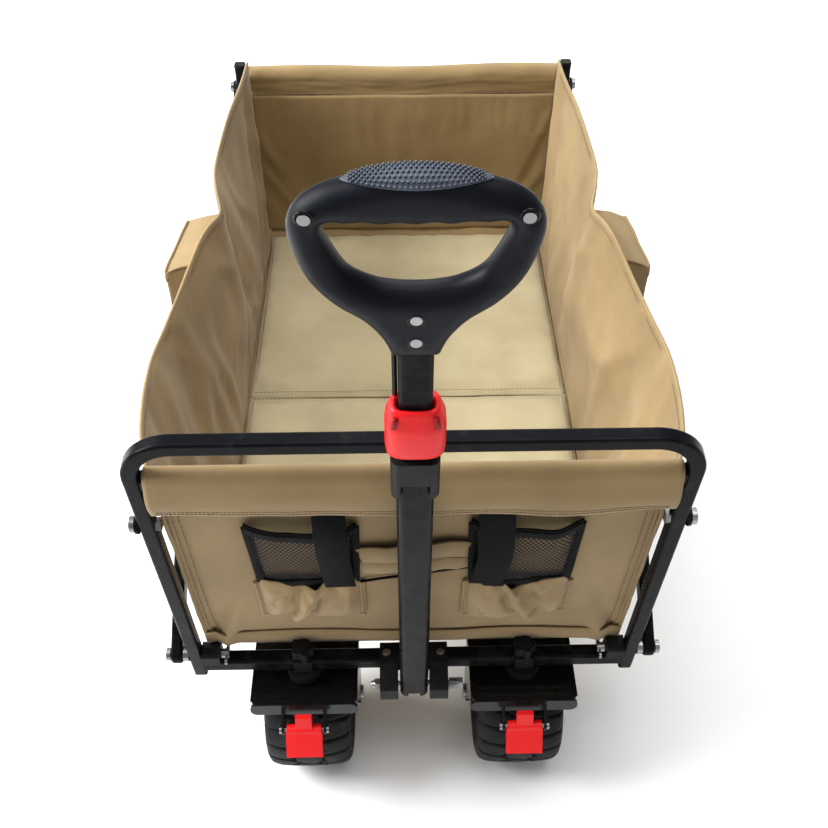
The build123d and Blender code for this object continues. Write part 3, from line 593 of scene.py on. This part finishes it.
def side_point(side, seed, u, v, out=0.0):
    near = clamp(1 - u / 0.28, 0.0, 1.0)
    top_z = side_high_z + RIM_RISE * near * near * (3 - 2 * near)
    z = side_low_z + (top_z - side_low_z) * v
    lean = wall_slope * (z - side_low_z)
    start = y_front + 0.013 + lean
    y = start + (SIDE_END - start) * u
    flare = WALL_HALF - FLOOR_HALF
    foot = FLOOR_HALF + flare * exp(-u / 0.03) + (flare - 0.001) * exp((u - 1) / 0.03)
    half = foot + (rim_half(u) - foot) * v ** 1.1
    inner = sin(pi * clamp(u, 0, 1)) ** 0.5
    pucker = 0.004 * exp(-((u - NOTCH) / 0.06) ** 2) * sin((1 - v) * 9.0) * (1 - v)
    hang = inner * sin(pi * clamp(v, 0.0, 1.0)) ** 0.6
    fold = (crumple((0, y, z), 6.0, 0.007, seed) + crumple((0, y, z), 15.0, 0.0025, seed + 1)) * hang
    fold -= 0.010 * max(0.0, 0.5 - abs(noise.noise(Vector((seed, 5.5 * y + 2.0 * z, 4.0 * z)))) * 4) * hang
    crease_hang = sin(pi * clamp(v, 0.0, 1.0)) ** 0.4
    for place, slant, wide, tall in CREASES:
        fold += tall * exp(-((u - place - slant * (v - 0.5)) / wide) ** 2) * crease_hang
    sag = 0.006 * sin(pi * v) * inner
    z += 0.004 * sin(2 * pi * u * 3 + seed) * v * inner - 0.010 * exp(-((u - NOTCH) / 0.05) ** 2) * v
    return Vector((side * (half - sag + fold + pucker + out), y, z))


def shorten(piece):
    """Gives cloth between the two frames a mesh of its own; nothing here shortens it towards the rear frame
    as the wagon folds.
    """
    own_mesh(piece)


for side, hand in SIDES:
    seed = 11 if side < 0 else 17
    wall = grid(f"side_cloth_{hand}", lambda u, v: side_point(side, seed, u, v), 130, 44, tan_side)
    relax(wall, border_of(130, 44), 0.008, 24, 0.006, Vector((side, 0, 0)))
    thicken(wall, CLOTH)
    finish_piece(wall, "rear_frame", replaced=(f"side_wall_{hand}",))
    rim_line = [side_point(side, seed, t / 90, 1.0) for t in range(91)]
    hem = sweep(f"side_hem_{hand}", [p + Vector((0, 0, -0.0045)) for p in rim_line],
                flat_section(0.013, 0.0036), tan_side, across=(0, 0, 1))
    seams = [stitches(f"side_stitch_{face}", [p + Vector((face * 0.0022, 0, -0.0085)) for p in rim_line],
                      (face, 0, 0)) for face in (side, -side)]
    trim = joined(f"side_trim_{hand}", [hem] + seams)
    finish_piece(trim, "rear_frame")
    shorten(wall)
    shorten(trim)

# the cloth bottom of the tub, under the two floor boards
def bottom_point(u, v):
    half = FLOOR_HALF + 0.004
    start, end = y_front + 0.010, y_rear - 0.0095
    x, y = (2 * u - 1) * half, start + (end - start) * v
    edge = min(1.0, 110 * min(u, 1 - u), 110 * min(v, 1 - v))
    return Vector((x, y, side_low_z + 0.004 - 0.0234 * edge + crumple((x, y, 0), 8.0, 0.0006, 61)))


bottom = grid("tub_bottom", bottom_point, 112, 112, tan_bottom)
thicken(bottom, 0.0012, 1.0)
finish_piece(bottom, "rear_frame")
shorten(bottom)

# ---------------------------------------------------------------- tub: rear wall
rear_bar_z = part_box("rear_wall")[1][2] - 0.023
rear_low_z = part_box("rear_wall")[0][2]
rear_y = y_rear - 0.013
rear_hem_z = rear_bar_z - 0.037


def rear_point(u, v):
    x = (2 * u - 1) * (WALL_HALF + 0.001)
    z = rear_low_z + (rear_hem_z + 0.01 - rear_low_z) * v
    edge = 1 - abs(2 * u - 1) ** 6
    return Vector((x, rear_y + (0.004 * sin(pi * v) - crumple((x, 1, z), 7.0, 0.004, 8)) * edge, z))


rear_wall = grid("rear_wall_cloth", rear_point, 84, 46, tan_front)
relax(rear_wall, border_of(84, 46), 0.006, 20, 0.004, Vector((0, 1, 0)))
thicken(rear_wall, CLOTH)
finish_piece(rear_wall, "rear_frame", replaced=("rear_wall",))


def rear_hem_point(u, v):
    x = (2 * u - 1) * 0.2505
    reach = 0.0125
    if v < 0.35:
        t = v / 0.35
        y, z = y_rear - reach * (0.85 + 0.15 * t), rear_hem_z + (rear_bar_z - rear_hem_z) * t
    elif v < 0.65:
        a = pi * (v - 0.35) / 0.30
        y, z = y_rear - reach * cos(a), rear_bar_z + reach * 1.3 * sin(a)
    else:
        t = (v - 0.65) / 0.35
        y, z = y_rear + reach * (1.0 - 0.1 * t), rear_bar_z + (rear_hem_z - rear_bar_z) * t
    return Vector((x, y + crumple((x, v, 0), 9.0, 0.0016, 9), z + 0.002 * sin(9 * u)))


rear_hem = grid("rear_hem_pocket", rear_hem_point, 90, 42, tan_front)
thicken(rear_hem, HEM_CLOTH)
finish_piece(rear_hem, "rear_frame")
for number, v in enumerate((0.03, 0.10)):
    line = [rear_hem_point(u / 80, v) + Vector((0, -0.0014, 0)) for u in range(1, 80)]
    finish_piece(stitches(f"rear_stitch_{number}", line, (0, -1, 0)), "rear_frame")

# ---------------------------------------------------------------- floor mat
mat_low, mat_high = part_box("floor_mat_front")
MAT_HALF = FLOOR_HALF - 0.0015
mat_base = mat_low[2] + 0.0005
mat_crown = mat_high[2] - mat_low[2]
CHANNEL = 0.0135


def padded_mat(name, y0, y1, seed):
    """Half of the floor pad: thin at its seams, crowned between them, with half of the flat fold strip."""
    length = y1 - y0

    def top(u, v):
        x, y = (2 * u - 1) * MAT_HALF, y0 + length * v
        edge_x, edge_y = 1 - abs(2 * u - 1) ** 14, 1 - abs(2 * v - 1) ** 16
        from_fold = abs(y - y_middle)
        edge_y = min(edge_y, clamp((from_fold - CHANNEL) / 0.02, 0.0, 1.0))
        crown = 0.35 + 0.65 * (max(0.0, edge_x * edge_y)) ** 0.5
        dimple = crumple((x, y, 0), 5.0, 0.0012, seed) + crumple((x, y, 0), 14.0, 0.0005, seed)
        return Vector((x, y, mat_base + mat_crown * crown * 0.93 + dimple * edge_x * edge_y))

    def bottom(u, v):
        p = top(u, v)
        return Vector((p.x, p.y, mat_base))

    nu, nv = 66, 58
    verts, faces = [], []
    for surface in (top, bottom):
        verts += [surface(i / nu, j / nv) for i in range(nu + 1) for j in range(nv + 1)]
    row, half = nv + 1, (nu + 1) * (nv + 1)
    for i in range(nu):
        for j in range(nv):
            a = i * row + j
            faces.append((a, a + row, a + row + 1, a + 1))
            faces.append((half + a, half + a + 1, half + a + row + 1, half + a + row))
    rim = [i * row for i in range(nu + 1)] + [nu * row + j for j in range(1, nv + 1)]
    rim += [i * row + nv for i in range(nu - 1, -1, -1)] + list(range(nv - 1, 0, -1))
    for a, b in zip(rim, rim[1:] + rim[:1]):
        faces.append((a, half + a, half + b, b))
    return make_object(name, verts, faces, mat_cloth)


for end, y0, y1, seed in (("front", y_front + 0.019, y_middle - 0.0006, 21),
                          ("rear", y_middle + 0.0006, y_rear - 0.019, 23)):
    pad = padded_mat(f"mat_pad_{end}", y0, y1, seed)
    underside = min(v.co.z for v in pad.data.vertices) + 0.001
    settle(pad, lambda i, co: co.z < underside, 14, 0.0025, Vector(), 0.0, use_pressure=True,
           uniform_pressure_force=1.2, shrink_min=-0.01)
    finish_piece(pad, f"floor_{end}", (f"floor_mat_{end}",))
    inset = 0.007
    border = [(-MAT_HALF + inset, y0 + inset), (MAT_HALF - inset, y0 + inset), (MAT_HALF - inset, y1 - inset),
              (-MAT_HALF + inset, y1 - inset), (-MAT_HALF + inset, y0 + inset)]
    line = [(*Vector(a).lerp(Vector(b), t / 20), mat_base + mat_crown * 0.80)
            for a, b in zip(border, border[1:]) for t in range(20)]
    finish_piece(stitches(f"mat_stitch_{end}", line, (0, 0, 1)), f"floor_{end}")

# ---------------------------------------------------------------- pockets and straps on the front
CUP_X = middle_of("cup_pocket_right").x
cup_low, cup_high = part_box("cup_pocket_right")
CUP_HALF = (cup_high[0] - cup_low[0]) / 2
net_low_z, net_high_z = cup_low[2], cup_high[2]
NET_BULGE = 0.011


def net_point(side, seed, u, v):
    a = (2 * u - 1)
    x = side * CUP_X + a * CUP_HALF * (0.93 + 0.07 * v)
    z = net_low_z + (net_high_z - net_low_z) * v - 0.003 * (1 - a * a) * v
    out = 0.0034 + NET_BULGE * (1 - a ** 4) * (0.35 + 0.65 * v)
    out += max(-0.001, crumple((x, 0, z), 18.0, 0.004, seed) * (1 - a ** 4))
    return on_wall(x, z, out)


for side, hand in SIDES:
    seed = 31 if side < 0 else 37
    net = grid(f"net_{hand}", lambda u, v: net_point(side, seed, u, v), 44, 34, netting)
    finish_piece(net, "front_frame", (f"cup_pocket_{hand}",))
    top_line = [net_point(side, seed, t / 40, 0.97) + wall_normal * 0.0012 for t in range(41)]
    foot_line = [net_point(side, seed, t / 40, 0.02) + wall_normal * 0.001 for t in range(41)]
    bands = [sweep("band_top", top_line, flat_section(0.017, 0.0022), webbing, across=WALL_UP),
             sweep("band_foot", foot_line, flat_section(0.012, 0.002), webbing, across=WALL_UP)]
    for u in (0.02, 0.98):
        line = [net_point(side, seed, u, t / 24) + wall_normal * 0.001 for t in range(25)]
        bands.append(sweep("band_edge", line, flat_section(0.010, 0.002), webbing, across=(1, 0, 0)))
    rolled = [net_point(side, seed, t / 40, 1.0) + wall_normal * 0.0016 for t in range(41)]
    bands.append(sweep("band_roll", rolled, ring_section(0.0021), webbing))
    finish_piece(joined(f"net_binding_{hand}", bands), "front_frame")

    # webbing strap that comes from under the hem, across the net
    if side < 0:
        inward = (0.030, 0.030, 0.032, 0.035)
        route = ((sleeve_low_z + 0.004, 0.004), (net_high_z, 0.0185), (net_high_z - 0.05, 0.0190),
                 (net_low_z + 0.002, 0.013))
        width = 0.033
    else:
        inward = (0.034, 0.031, 0.031, 0.037)
        route = ((sleeve_low_z + 0.004, 0.004), (net_high_z + 0.01, 0.015), (net_high_z - 0.045, 0.0195),
                 (net_low_z + 0.008, 0.013))
        width = 0.036
    path = [on_wall(*p) for p in smooth_curve([(side * (CUP_X - shift), z, out)
                                               for shift, (z, out) in zip(inward, route)])]
    strap = sweep(f"net_strap_{hand}", path, flat_section(width, 0.0018), webbing, across=(1, 0, 0))
    finish_piece(strap, "front_frame")

# crumpled cloth pockets below the nets
pocket_low_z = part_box("lower_pockets")[0][2]
for side, hand in SIDES:
    seed = 41 if side < 0 else 43

    def pocket_point(u, v):
        a = 2 * u - 1
        x = side * CUP_X + a * (CUP_HALF - 0.001)
        z = pocket_low_z + (net_low_z + 0.006 - pocket_low_z) * v
        free = (1 - a ** 6) * sin(pi * clamp(0.08 + 0.84 * v, 0, 1)) ** 0.5
        slant = abs(a + 0.55 * (v - 0.5) * side - 0.12 * side)
        ridge = 0.010 * exp(-(slant / 0.10) ** 2) - 0.006 * exp(-((slant - 0.28) / 0.12) ** 2)
        sharp = 0.010 * abs(noise.noise(Vector((a * 1.8 + seed, v * 1.4, seed))))
        z -= 0.012 * exp(-(a / 0.3) ** 2) * v ** 6
        return on_wall(x, z, 0.0022 + (0.010 + ridge + sharp) * free)

    pocket = grid(f"cloth_pocket_{hand}", pocket_point, 60, 44, tan_front)
    relax(pocket, border_of(60, 44), 0.02, 16, 0.004, -wall_normal, 0.2)
    thicken(pocket, 0.0013)
    finish_piece(pocket, "front_frame", replaced=("lower_pockets",) if side < 0 else ())
    foot = pocket_low_z - 0.002
    outline = [(side * CUP_X + a * (CUP_HALF + 0.001), foot + (net_low_z - pocket_low_z) * b)
               for a, b in ((-1, 1), (-1, 0), (1, 0), (1, 1))]
    line = [on_wall(*Vector(p).lerp(Vector(q), t / 24), 0.0034) for p, q in zip(outline, outline[1:])
            for t in range(24)]
    edge = sweep(f"pocket_edge_{hand}", line, flat_section(0.006, 0.0022), tan_front, across=(0.6, 0, 0.8))
    finish_piece(edge, "front_frame")
    line = [p + wall_normal * 0.0014 for p in line]
    seam = stitches(f"pocket_stitch_{hand}", line, wall_normal, 0.0050, 0.0036, 0.0005)
    finish_piece(seam, "front_frame")

# the tan band behind the handle, in two layers, with a black cord line under it
band_middle = middle_of("front_strap").z
inner_x = CUP_X - CUP_HALF
for number, (height, width, out) in enumerate(((0.010, 0.030, 0.0052), (-0.016, 0.024, 0.0042))):
    line = [on_wall(-inner_x + 2 * inner_x * t / 24, band_middle + height + 0.008 * (t / 24 - 0.5)
                    + 0.0015 * sin(t * 0.7 + number), out + 0.003 * sin(pi * t / 24)) for t in range(25)]
    band = sweep(f"front_band_{number}", line, flat_section(width, 0.0024), tan_front, across=WALL_UP)
    finish_piece(band, "front_frame", replaced=("front_strap",) if number == 0 else ())
shock = [on_wall(-inner_x + 2 * inner_x * t / 16, band_middle - 0.052 + 0.030 * t / 16, 0.004)
         for t in range(17)]
finish_piece(sweep("band_cord", shock, ring_section(0.0016), webbing), "front_frame")

# ---------------------------------------------------------------- pockets outside the side walls
out_low, out_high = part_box("side_pockets")
PANEL_X = out_high[0] - 0.001
POUCH_FOOT, POUCH_TURN, POUCH_TOP = 0.383, 0.446, out_high[2] + 0.0085


def wall_x(side, y, z):
    """Half width of the side wall at one place."""
    along = clamp((y - y_front) / TUB_LENGTH, 0.0, 1.0)
    share = clamp((z - side_low_z) / (side_high_z - side_low_z), 0.0, 1.0)
    return abs(side_point(side, 11 if side < 0 else 17, along, share).x)


for side, hand in SIDES:
    seed = 51 if side < 0 else 57

    def panel_point(u, v):
        y = out_low[1] + (out_high[1] - out_low[1]) * u
        z = POUCH_FOOT + (POUCH_TOP - POUCH_FOOT) * v
        a = 2 * u - 1
        base = wall_x(side, y, z) + 0.001
        outer = PANEL_X - 0.013 * u
        turned = sin(pi / 2 * clamp((z - POUCH_FOOT) / (POUCH_TURN - POUCH_FOOT), 0.0, 1.0))
        x = base + (outer - base) * turned
        x += (0.003 * (1 - a ** 4) + max(0.0, crumple((y, z, 0), 14.0, 0.003, seed))) * turned
        return Vector((side * x, y, z - 0.004 * (1 - a * a) * v))

    def web_point(u, v, y, foot):
        z = foot + (POUCH_TOP - foot) * v
        inner = wall_x(side, y, min(z, side_high_z)) + 0.0008
        outer = PANEL_X - 0.013 * (y - out_low[1]) / (out_high[1] - out_low[1])
        x = inner + (outer - inner) * u
        return Vector((side * x, y + 0.003 * sin(pi * u), z + 0.011 * (1 - u) * v))

    def cover_point(u, v):
        y = out_low[1] + (out_high[1] - out_low[1]) * v
        outer_edge = panel_point(v, 0.99)
        inner_z = POUCH_TOP + 0.011
        start = Vector((side * (wall_x(side, y, inner_z) + 0.0008), y, inner_z))
        p = start.lerp(outer_edge, u)
        lift = 0.0025 * sin(pi * u) + crumple((p.x, p.y, 0), 20.0, 0.002, seed + 3) * sin(pi * u)
        return p + Vector((0, 0, lift))

    cloths = [grid("panel", panel_point, 40, 44, tan_side), grid("cover", cover_point, 18, 30, tan_bottom),
              grid("web_near", lambda u, v: web_point(u, v, out_low[1], 0.496), 16, 12, tan_front),
              grid("web_far", lambda u, v: web_point(u, v, out_high[1], 0.522), 16, 8, tan_front)]
    for cloth in cloths:
        thicken(cloth, 0.0013)
    top_line = [panel_point(t / 40, 0.965) for t in range(41)]
    cloths.append(sweep("hem", top_line, flat_section(0.016, 0.0032), tan_side, across=(0, 0, 1)))
    seam_line = [p + Vector((side * 0.0019, 0, -0.004)) for p in top_line]
    cloths.append(stitches("hem_stitch", seam_line, (side, 0, 0)))
    pouch = joined(f"outer_pocket_{hand}", cloths)
    finish_piece(pouch, "rear_frame", replaced=("side_pockets",) if side < 0 else ())
    shorten(pouch)

# ---------------------------------------------------------------- tyres
tyre_reach = Vector(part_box("tyre_front_left")[1]) - middle_of("tyre_front_left")
TYRE_HALF, TYRE_R = tyre_reach.x, tyre_reach.z
half_profile = [(-0.85, 0.632), (-0.93, 0.68), (-0.995, 0.77), (-0.985, 0.86), (-0.90, 0.935), (-0.72, 0.975),
                (-0.45, 0.99)]
PROFILE = smooth_curve(half_profile + [(0.0, 0.998)] + [(-x, r) for x, r in half_profile[::-1]], 7)
BLOCKS = 22


def groove(distance, width):
    return clamp((distance - width) / 0.05 + 0.5, 0.0, 1.0)


def tread_depth(turn, across):
    """How much tread stands at this place: 1 on a block, 0 in a groove."""
    phase = turn * BLOCKS
    zig = 0.10 * (1 if (phase % 1.0) < 0.5 else -1)
    centre = groove(abs(abs(across) - 0.30 - zig * 0.5), 0.035)
    stagger = 0.5 if across < 0 else 0.0
    slant = (phase + stagger + 0.45 * abs(across)) % 1.0
    lateral = groove(min(slant, 1 - slant), 0.075) if abs(across) > 0.30 else 1.0
    inner = (phase + 0.25 - 0.8 * across) % 1.0
    middle = groove(min(inner, 1 - inner), 0.05) if abs(across) < 0.26 else 1.0
    sipe = (phase * 2 + 0.3) % 1.0
    fine = 1.0 - 0.35 * (1 - groove(min(sipe, 1 - sipe), 0.03)) * (abs(across) > 0.45)
    return centre * lateral * middle * fine


def tyre_point(centre, u, v):
    place = v * (len(PROFILE) - 1)
    i = min(int(place), len(PROFILE) - 2)
    t = place - i
    across = PROFILE[i][0] + (PROFILE[i + 1][0] - PROFILE[i][0]) * t
    height = PROFILE[i][1] + (PROFILE[i + 1][1] - PROFILE[i][1]) * t
    radius = height * TYRE_R
    on_tread = clamp((height - 0.84) / 0.05, 0.0, 1.0)
    radius -= 0.0052 * on_tread * (1 - tread_depth(u, across))
    radius += 0.0008 * (abs(height - 0.74) < 0.012)
    a = 2 * pi * u
    return centre + Vector((across * TYRE_HALF, radius * cos(a), radius * sin(a)))


for end in ("front", "rear"):
    for side, hand in SIDES:
        centre = middle_of(f"tyre_{end}_{hand}")
        tyre = grid(f"tread_{end}_{hand}", lambda u, v: tyre_point(centre, u, v), 352, 98, rubber, True)
        finish_piece(tyre, f"wheel_{end}_{hand}", (f"tyre_{end}_{hand}",))

        # spokes and a lip ring on both faces of the rim
        hub = []
        for face in (-1, 1):
            for n in range(6):
                a = 2 * pi * n / 6
                path = [centre + Vector((face * depth, r * cos(a), r * sin(a)))
                        for r, depth in ((0.017, 0.046), (0.028, 0.036), (0.042, 0.030), (0.053, 0.034))]
                hub.append(sweep(f"spoke_{n}", smooth_curve(path, 5), flat_section(0.013, 0.007), plastic,
                                 across=(0, -sin(a), cos(a))))
            lip = [centre + Vector((face * 0.047, c, s)) for c, s in ring_section(0.0545, 64)]
            hub.append(sweep("lip", lip, ring_section(0.0026), plastic, closed_path=True))
        finish_piece(joined(f"wheel_spokes_{end}_{hand}", hub), f"wheel_{end}_{hand}")


# ---------------------------------------------------------------- grip
def inflate(name, outer, holes, half_depth, edge_round, look, place):
    """A rounded slab from a flat outline: full depth inside, rounding off within edge_round of any edge."""
    loops = [outer] + holes
    points, edges = [], []
    for loop in loops:
        base = len(points)
        points += [Vector(p) for p in loop]
        edges += [(base + k, base + (k + 1) % len(loop)) for k in range(len(loop))]
    borders = [(points[a], points[b]) for a, b in edges]

    def inside(p):
        count = 0
        for a, b in borders:
            if (a.y > p.y) != (b.y > p.y) and p.x < (b.x - a.x) * (p.y - a.y) / (b.y - a.y) + a.x:
                count += 1
        return count % 2 == 1

    def to_edge(p):
        best = 1e9
        for a, b in borders:
            ab, ap = b - a, p - a
            t = clamp(ap.dot(ab) / max(ab.length_squared, 1e-12), 0.0, 1.0)
            best = min(best, (ap - ab * t).length)
        return best

    filled = []
    for share in (0.03, 0.10, 0.20, 0.34, 0.52, 0.74, 0.98):
        step = share * edge_round
        for loop in loops:
            for k in range(0, len(loop), 1 if share < 0.6 else 2):
                a, b, c = Vector(loop[k - 1]), Vector(loop[k]), Vector(loop[(k + 1) % len(loop)])
                run = (c - a).normalized()
                for turn in (1, -1):
                    p = b + Vector((-run.y, run.x)) * step * turn
                    if inside(p) and to_edge(p) > step * 0.93:
                        filled.append(p)
    xs, ys = [p.x for p in points], [p.y for p in points]
    pitch = edge_round * 0.4
    for i in range(int((max(xs) - min(xs)) / pitch) + 1):
        for j in range(int((max(ys) - min(ys)) / pitch) + 1):
            p = Vector((min(xs) + i * pitch, min(ys) + j * pitch))
            if inside(p) and to_edge(p) > edge_round:
                filled.append(p)
    flat, _, tris, *_ = geometry.delaunay_2d_cdt(points + filled, edges, [], 0, 1e-7)
    tris = [t for t in tris if inside(sum((flat[k] for k in t), Vector((0, 0))) / len(t))]
    depth = []
    for p in flat:
        d = min(1.0, to_edge(p) / edge_round)
        depth.append(half_depth * sqrt(max(0.0, 1 - (1 - d) ** 2)))
    verts = [place(p.x, d, p.y) for p, d in zip(flat, depth)]
    back = {}
    for k, (p, d) in enumerate(zip(flat, depth)):
        back[k] = k
        if d > 1e-6:
            back[k] = len(verts)
            verts.append(place(p.x, -d, p.y))
    faces = [tuple(t) for t in tris] + [tuple(back[k] for k in reversed(t)) for t in tris]
    return make_object(name, verts, faces, look)


right_edge = smooth_curve([(0.0, 0.7685), (0.026, 0.7667), (0.0455, 0.7612), (0.063, 0.7545),
                           (0.077, 0.744), (0.0843, 0.7285), (0.0825, 0.707), (0.0735, 0.680),
                           (0.058, 0.6585), (0.0385, 0.6415), (0.0255, 0.6230), (0.0185, 0.6045)], 7)
outer = right_edge + [(-x, y) for x, y in right_edge[::-1]][:-1]
hole_right = smooth_curve([(0.0, 0.7288), (0.012, 0.7303), (0.022, 0.7290), (0.034, 0.7309),
                           (0.046, 0.7303), (0.056, 0.7313), (0.0612, 0.7265), (0.0575, 0.711),
                           (0.0455, 0.6865), (0.029, 0.675), (0.014, 0.671), (0.0, 0.670)], 5)
hole = hole_right + [(-x, y) for x, y in hole_right[::-1]][1:-1]
GRIP_HALF = 0.0145
grip = inflate("grip_shell", outer, [hole], GRIP_HALF, GRIP_HALF, soft_black, on_handle)
finish_piece(grip, "handle_slider", ("grip_body",))

# the lens-shaped comfort pad over the top of the grip, with rows of raised dots
PAD_HALF, PAD_TOP = 0.0485, 0.7688


def pad_point(a, b, out=0.0):
    """a from -1 to 1 across, b from -1 (front) to 1 (back) over the top of the grip."""
    x = a * PAD_HALF
    spread = (1 - a * a) ** 0.8
    top = PAD_TOP - 0.0001 - 3.0 * x * x * (1 + 60 * x * x)
    turn = radians(92 + spread * (50 * (b + 1) - 60))
    radius = 0.0148 + out
    return on_handle(x, radius * cos(turn), top - 0.0146 + radius * sin(turn))


pad_shell = grid("pad_shell", lambda u, v: pad_point(2 * u - 1, 2 * v - 1, 0.0006), 48, 16, pad_rubber)
thicken(pad_shell, 0.0016, -1.0)
dots = [pad_shell]
for row in range(7):
    b = -0.86 + row * 0.26
    for column in range(27):
        a = (column - 13 + 0.5 * (row % 2)) / 14.4
        if abs(a) > 0.89:
            continue
        p, q = pad_point(a, b, 0.0004), pad_point(a, b, 0.0022)
        dots.append(sweep(f"dot_{row}_{column}", [p, p.lerp(q, 0.6), q], ring_section(0.0009, 6), pad_rubber))
finish_piece(joined("grip_pad_dotted", dots), "handle_slider")


# ---------------------------------------------------------------- release collar, rod and screw rings
def lofted(name, levels, look, power):
    """Squared ovals at (height, width, depth) along the handle, joined, open at the ends."""
    count, verts = 64, []
    for height, width, depth in levels:
        for k in range(count):
            c, s = cos(2 * pi * k / count), sin(2 * pi * k / count)
            a, b = (copysign(size / 2 * abs(t) ** (2 / power), t) for size, t in ((width, c), (depth, s)))
            verts.append(on_handle(a, b, height))
    return make_object(name, verts, tube_faces(0, count, len(levels))[:-2], look)


tube_w, tube_d = 0.0335, 0.022
collar_low, collar_high = 0.487, 0.543
# the collar's rings, from its foot out over the belly, up to the lip and down inside: rise, width, depth
levels = [(collar_low + rise, tube_w + width, tube_d + depth) for rise, width, depth in
          ((0.004, 0.0008, 0.0008), (0, 0.003, 0.003), (0, 0.010, 0.010), (0.003, 0.0155, 0.015),
           (0.010, 0.017, 0.0165), (0.034, 0.017, 0.016), (0.040, 0.016, 0.0145), (0.047, 0.012, 0.009),
           (0.053, 0.008, 0.006), (0.056, 0.005, 0.004), (0.056, -0.001, -0.002), (0.048, -0.004, -0.0045),
           (0.042, -0.005, -0.0055))]
collar = lofted("collar_shell", levels, red, 3.4)
finish_piece(collar, "release_collar", ("release_collar",))
# the collar has notches near its top corners; the darker red blocks laid on its face there are painted shade
# for their shadowed insides
notch_shades = []
front_face = tube_d / 2 + 0.0045
for side in (-1, 1):
    path = [on_handle(side * (0.0178 - 0.0015 * t), front_face - 0.0018 * t, collar_high - 0.0145 + t * 0.010)
            for t in (0, 0.5, 1)]
    notch_shades.append(sweep(f"window_{side}", path, flat_section(0.0050, 0.0050), red_painted_shade, across=(1, 0, 0)))
finish_piece(joined("collar_notch_painted_shade", notch_shades), "release_collar")

# the thin release rod behind the inner tube, and the dark rings round the grip screws
rod = [on_handle(-0.0162, -0.004, 0.548 + 0.062 * t / 8) for t in range(9)]
finish_piece(sweep("release_rod", rod, flat_section(0.0042, 0.006), plastic, across=(1, 0, 0)),
             "handle_slider")
rings = []
for x, height, depth in ((0, 0.626, 0.0138), (0, 0.649, 0.0140), (-0.071, 0.741, 0.0128),
                         (0.071, 0.741, 0.0128)):
    loop = [on_handle(x + c, depth, height + s) for c, s in ring_section(0.0056, 28)]
    rings.append(sweep("ring", loop, ring_section(0.0011), gloss, closed_path=True))
finish_piece(joined("screw_rings", rings), "handle_slider")

# ---------------------------------------------------------------- stage, light and camera
floor_mesh = make_object("studio_floor", [(-6, -6, 0), (6, -6, 0), (6, 6, 0), (-6, 6, 0)], [(0, 1, 2, 3)],
                         new_material("studio_floor", (0.93, 0.93, 0.93), 0.9)[0])

world = bpy.data.worlds.new("studio")
world.use_nodes = True
world.node_tree.nodes["Background"].inputs["Color"].default_value = (1, 1, 1, 1)
world.node_tree.nodes["Background"].inputs["Strength"].default_value = 0.37
scene.world = world


def area_light(name, place, target, size, power):
    lamp = bpy.data.lights.new(name, "AREA")
    lamp.size = size
    lamp.energy = power
    holder = bpy.data.objects.new(name, lamp)
    scene.collection.objects.link(holder)
    holder.location = place
    holder.rotation_euler = (Vector(target) - Vector(place)).to_track_quat("-Z", "Y").to_euler()


area_light("key", (-3.0, 0.1, 2.5), (0, 0, 0.4), 2.4, 330)
area_light("top", (0.2, -0.2, 3.4), (0, -0.1, 0.3), 2.2, 74)
area_light("back", (0.2, 3.0, 3.1), (0, 0, 0.6), 2.6, 75)
area_light("front_fill", (0.8, -3.2, 1.4), (0, -0.2, 0.4), 2.0, 4)

# the camera stands a little in front of the wagon, above the grip, and looks down at 45 degrees
scene.view_settings.view_transform = "Standard"
camera_data = bpy.data.cameras.new("camera")
camera_data.lens = 43.5
camera = bpy.data.objects.new("camera", camera_data)
scene.collection.objects.link(camera)
camera.location = (-0.012, y_front - 0.654, 1.294)
camera.rotation_euler = (radians(45.0), 0.0, radians(-1.1))
scene.camera = camera
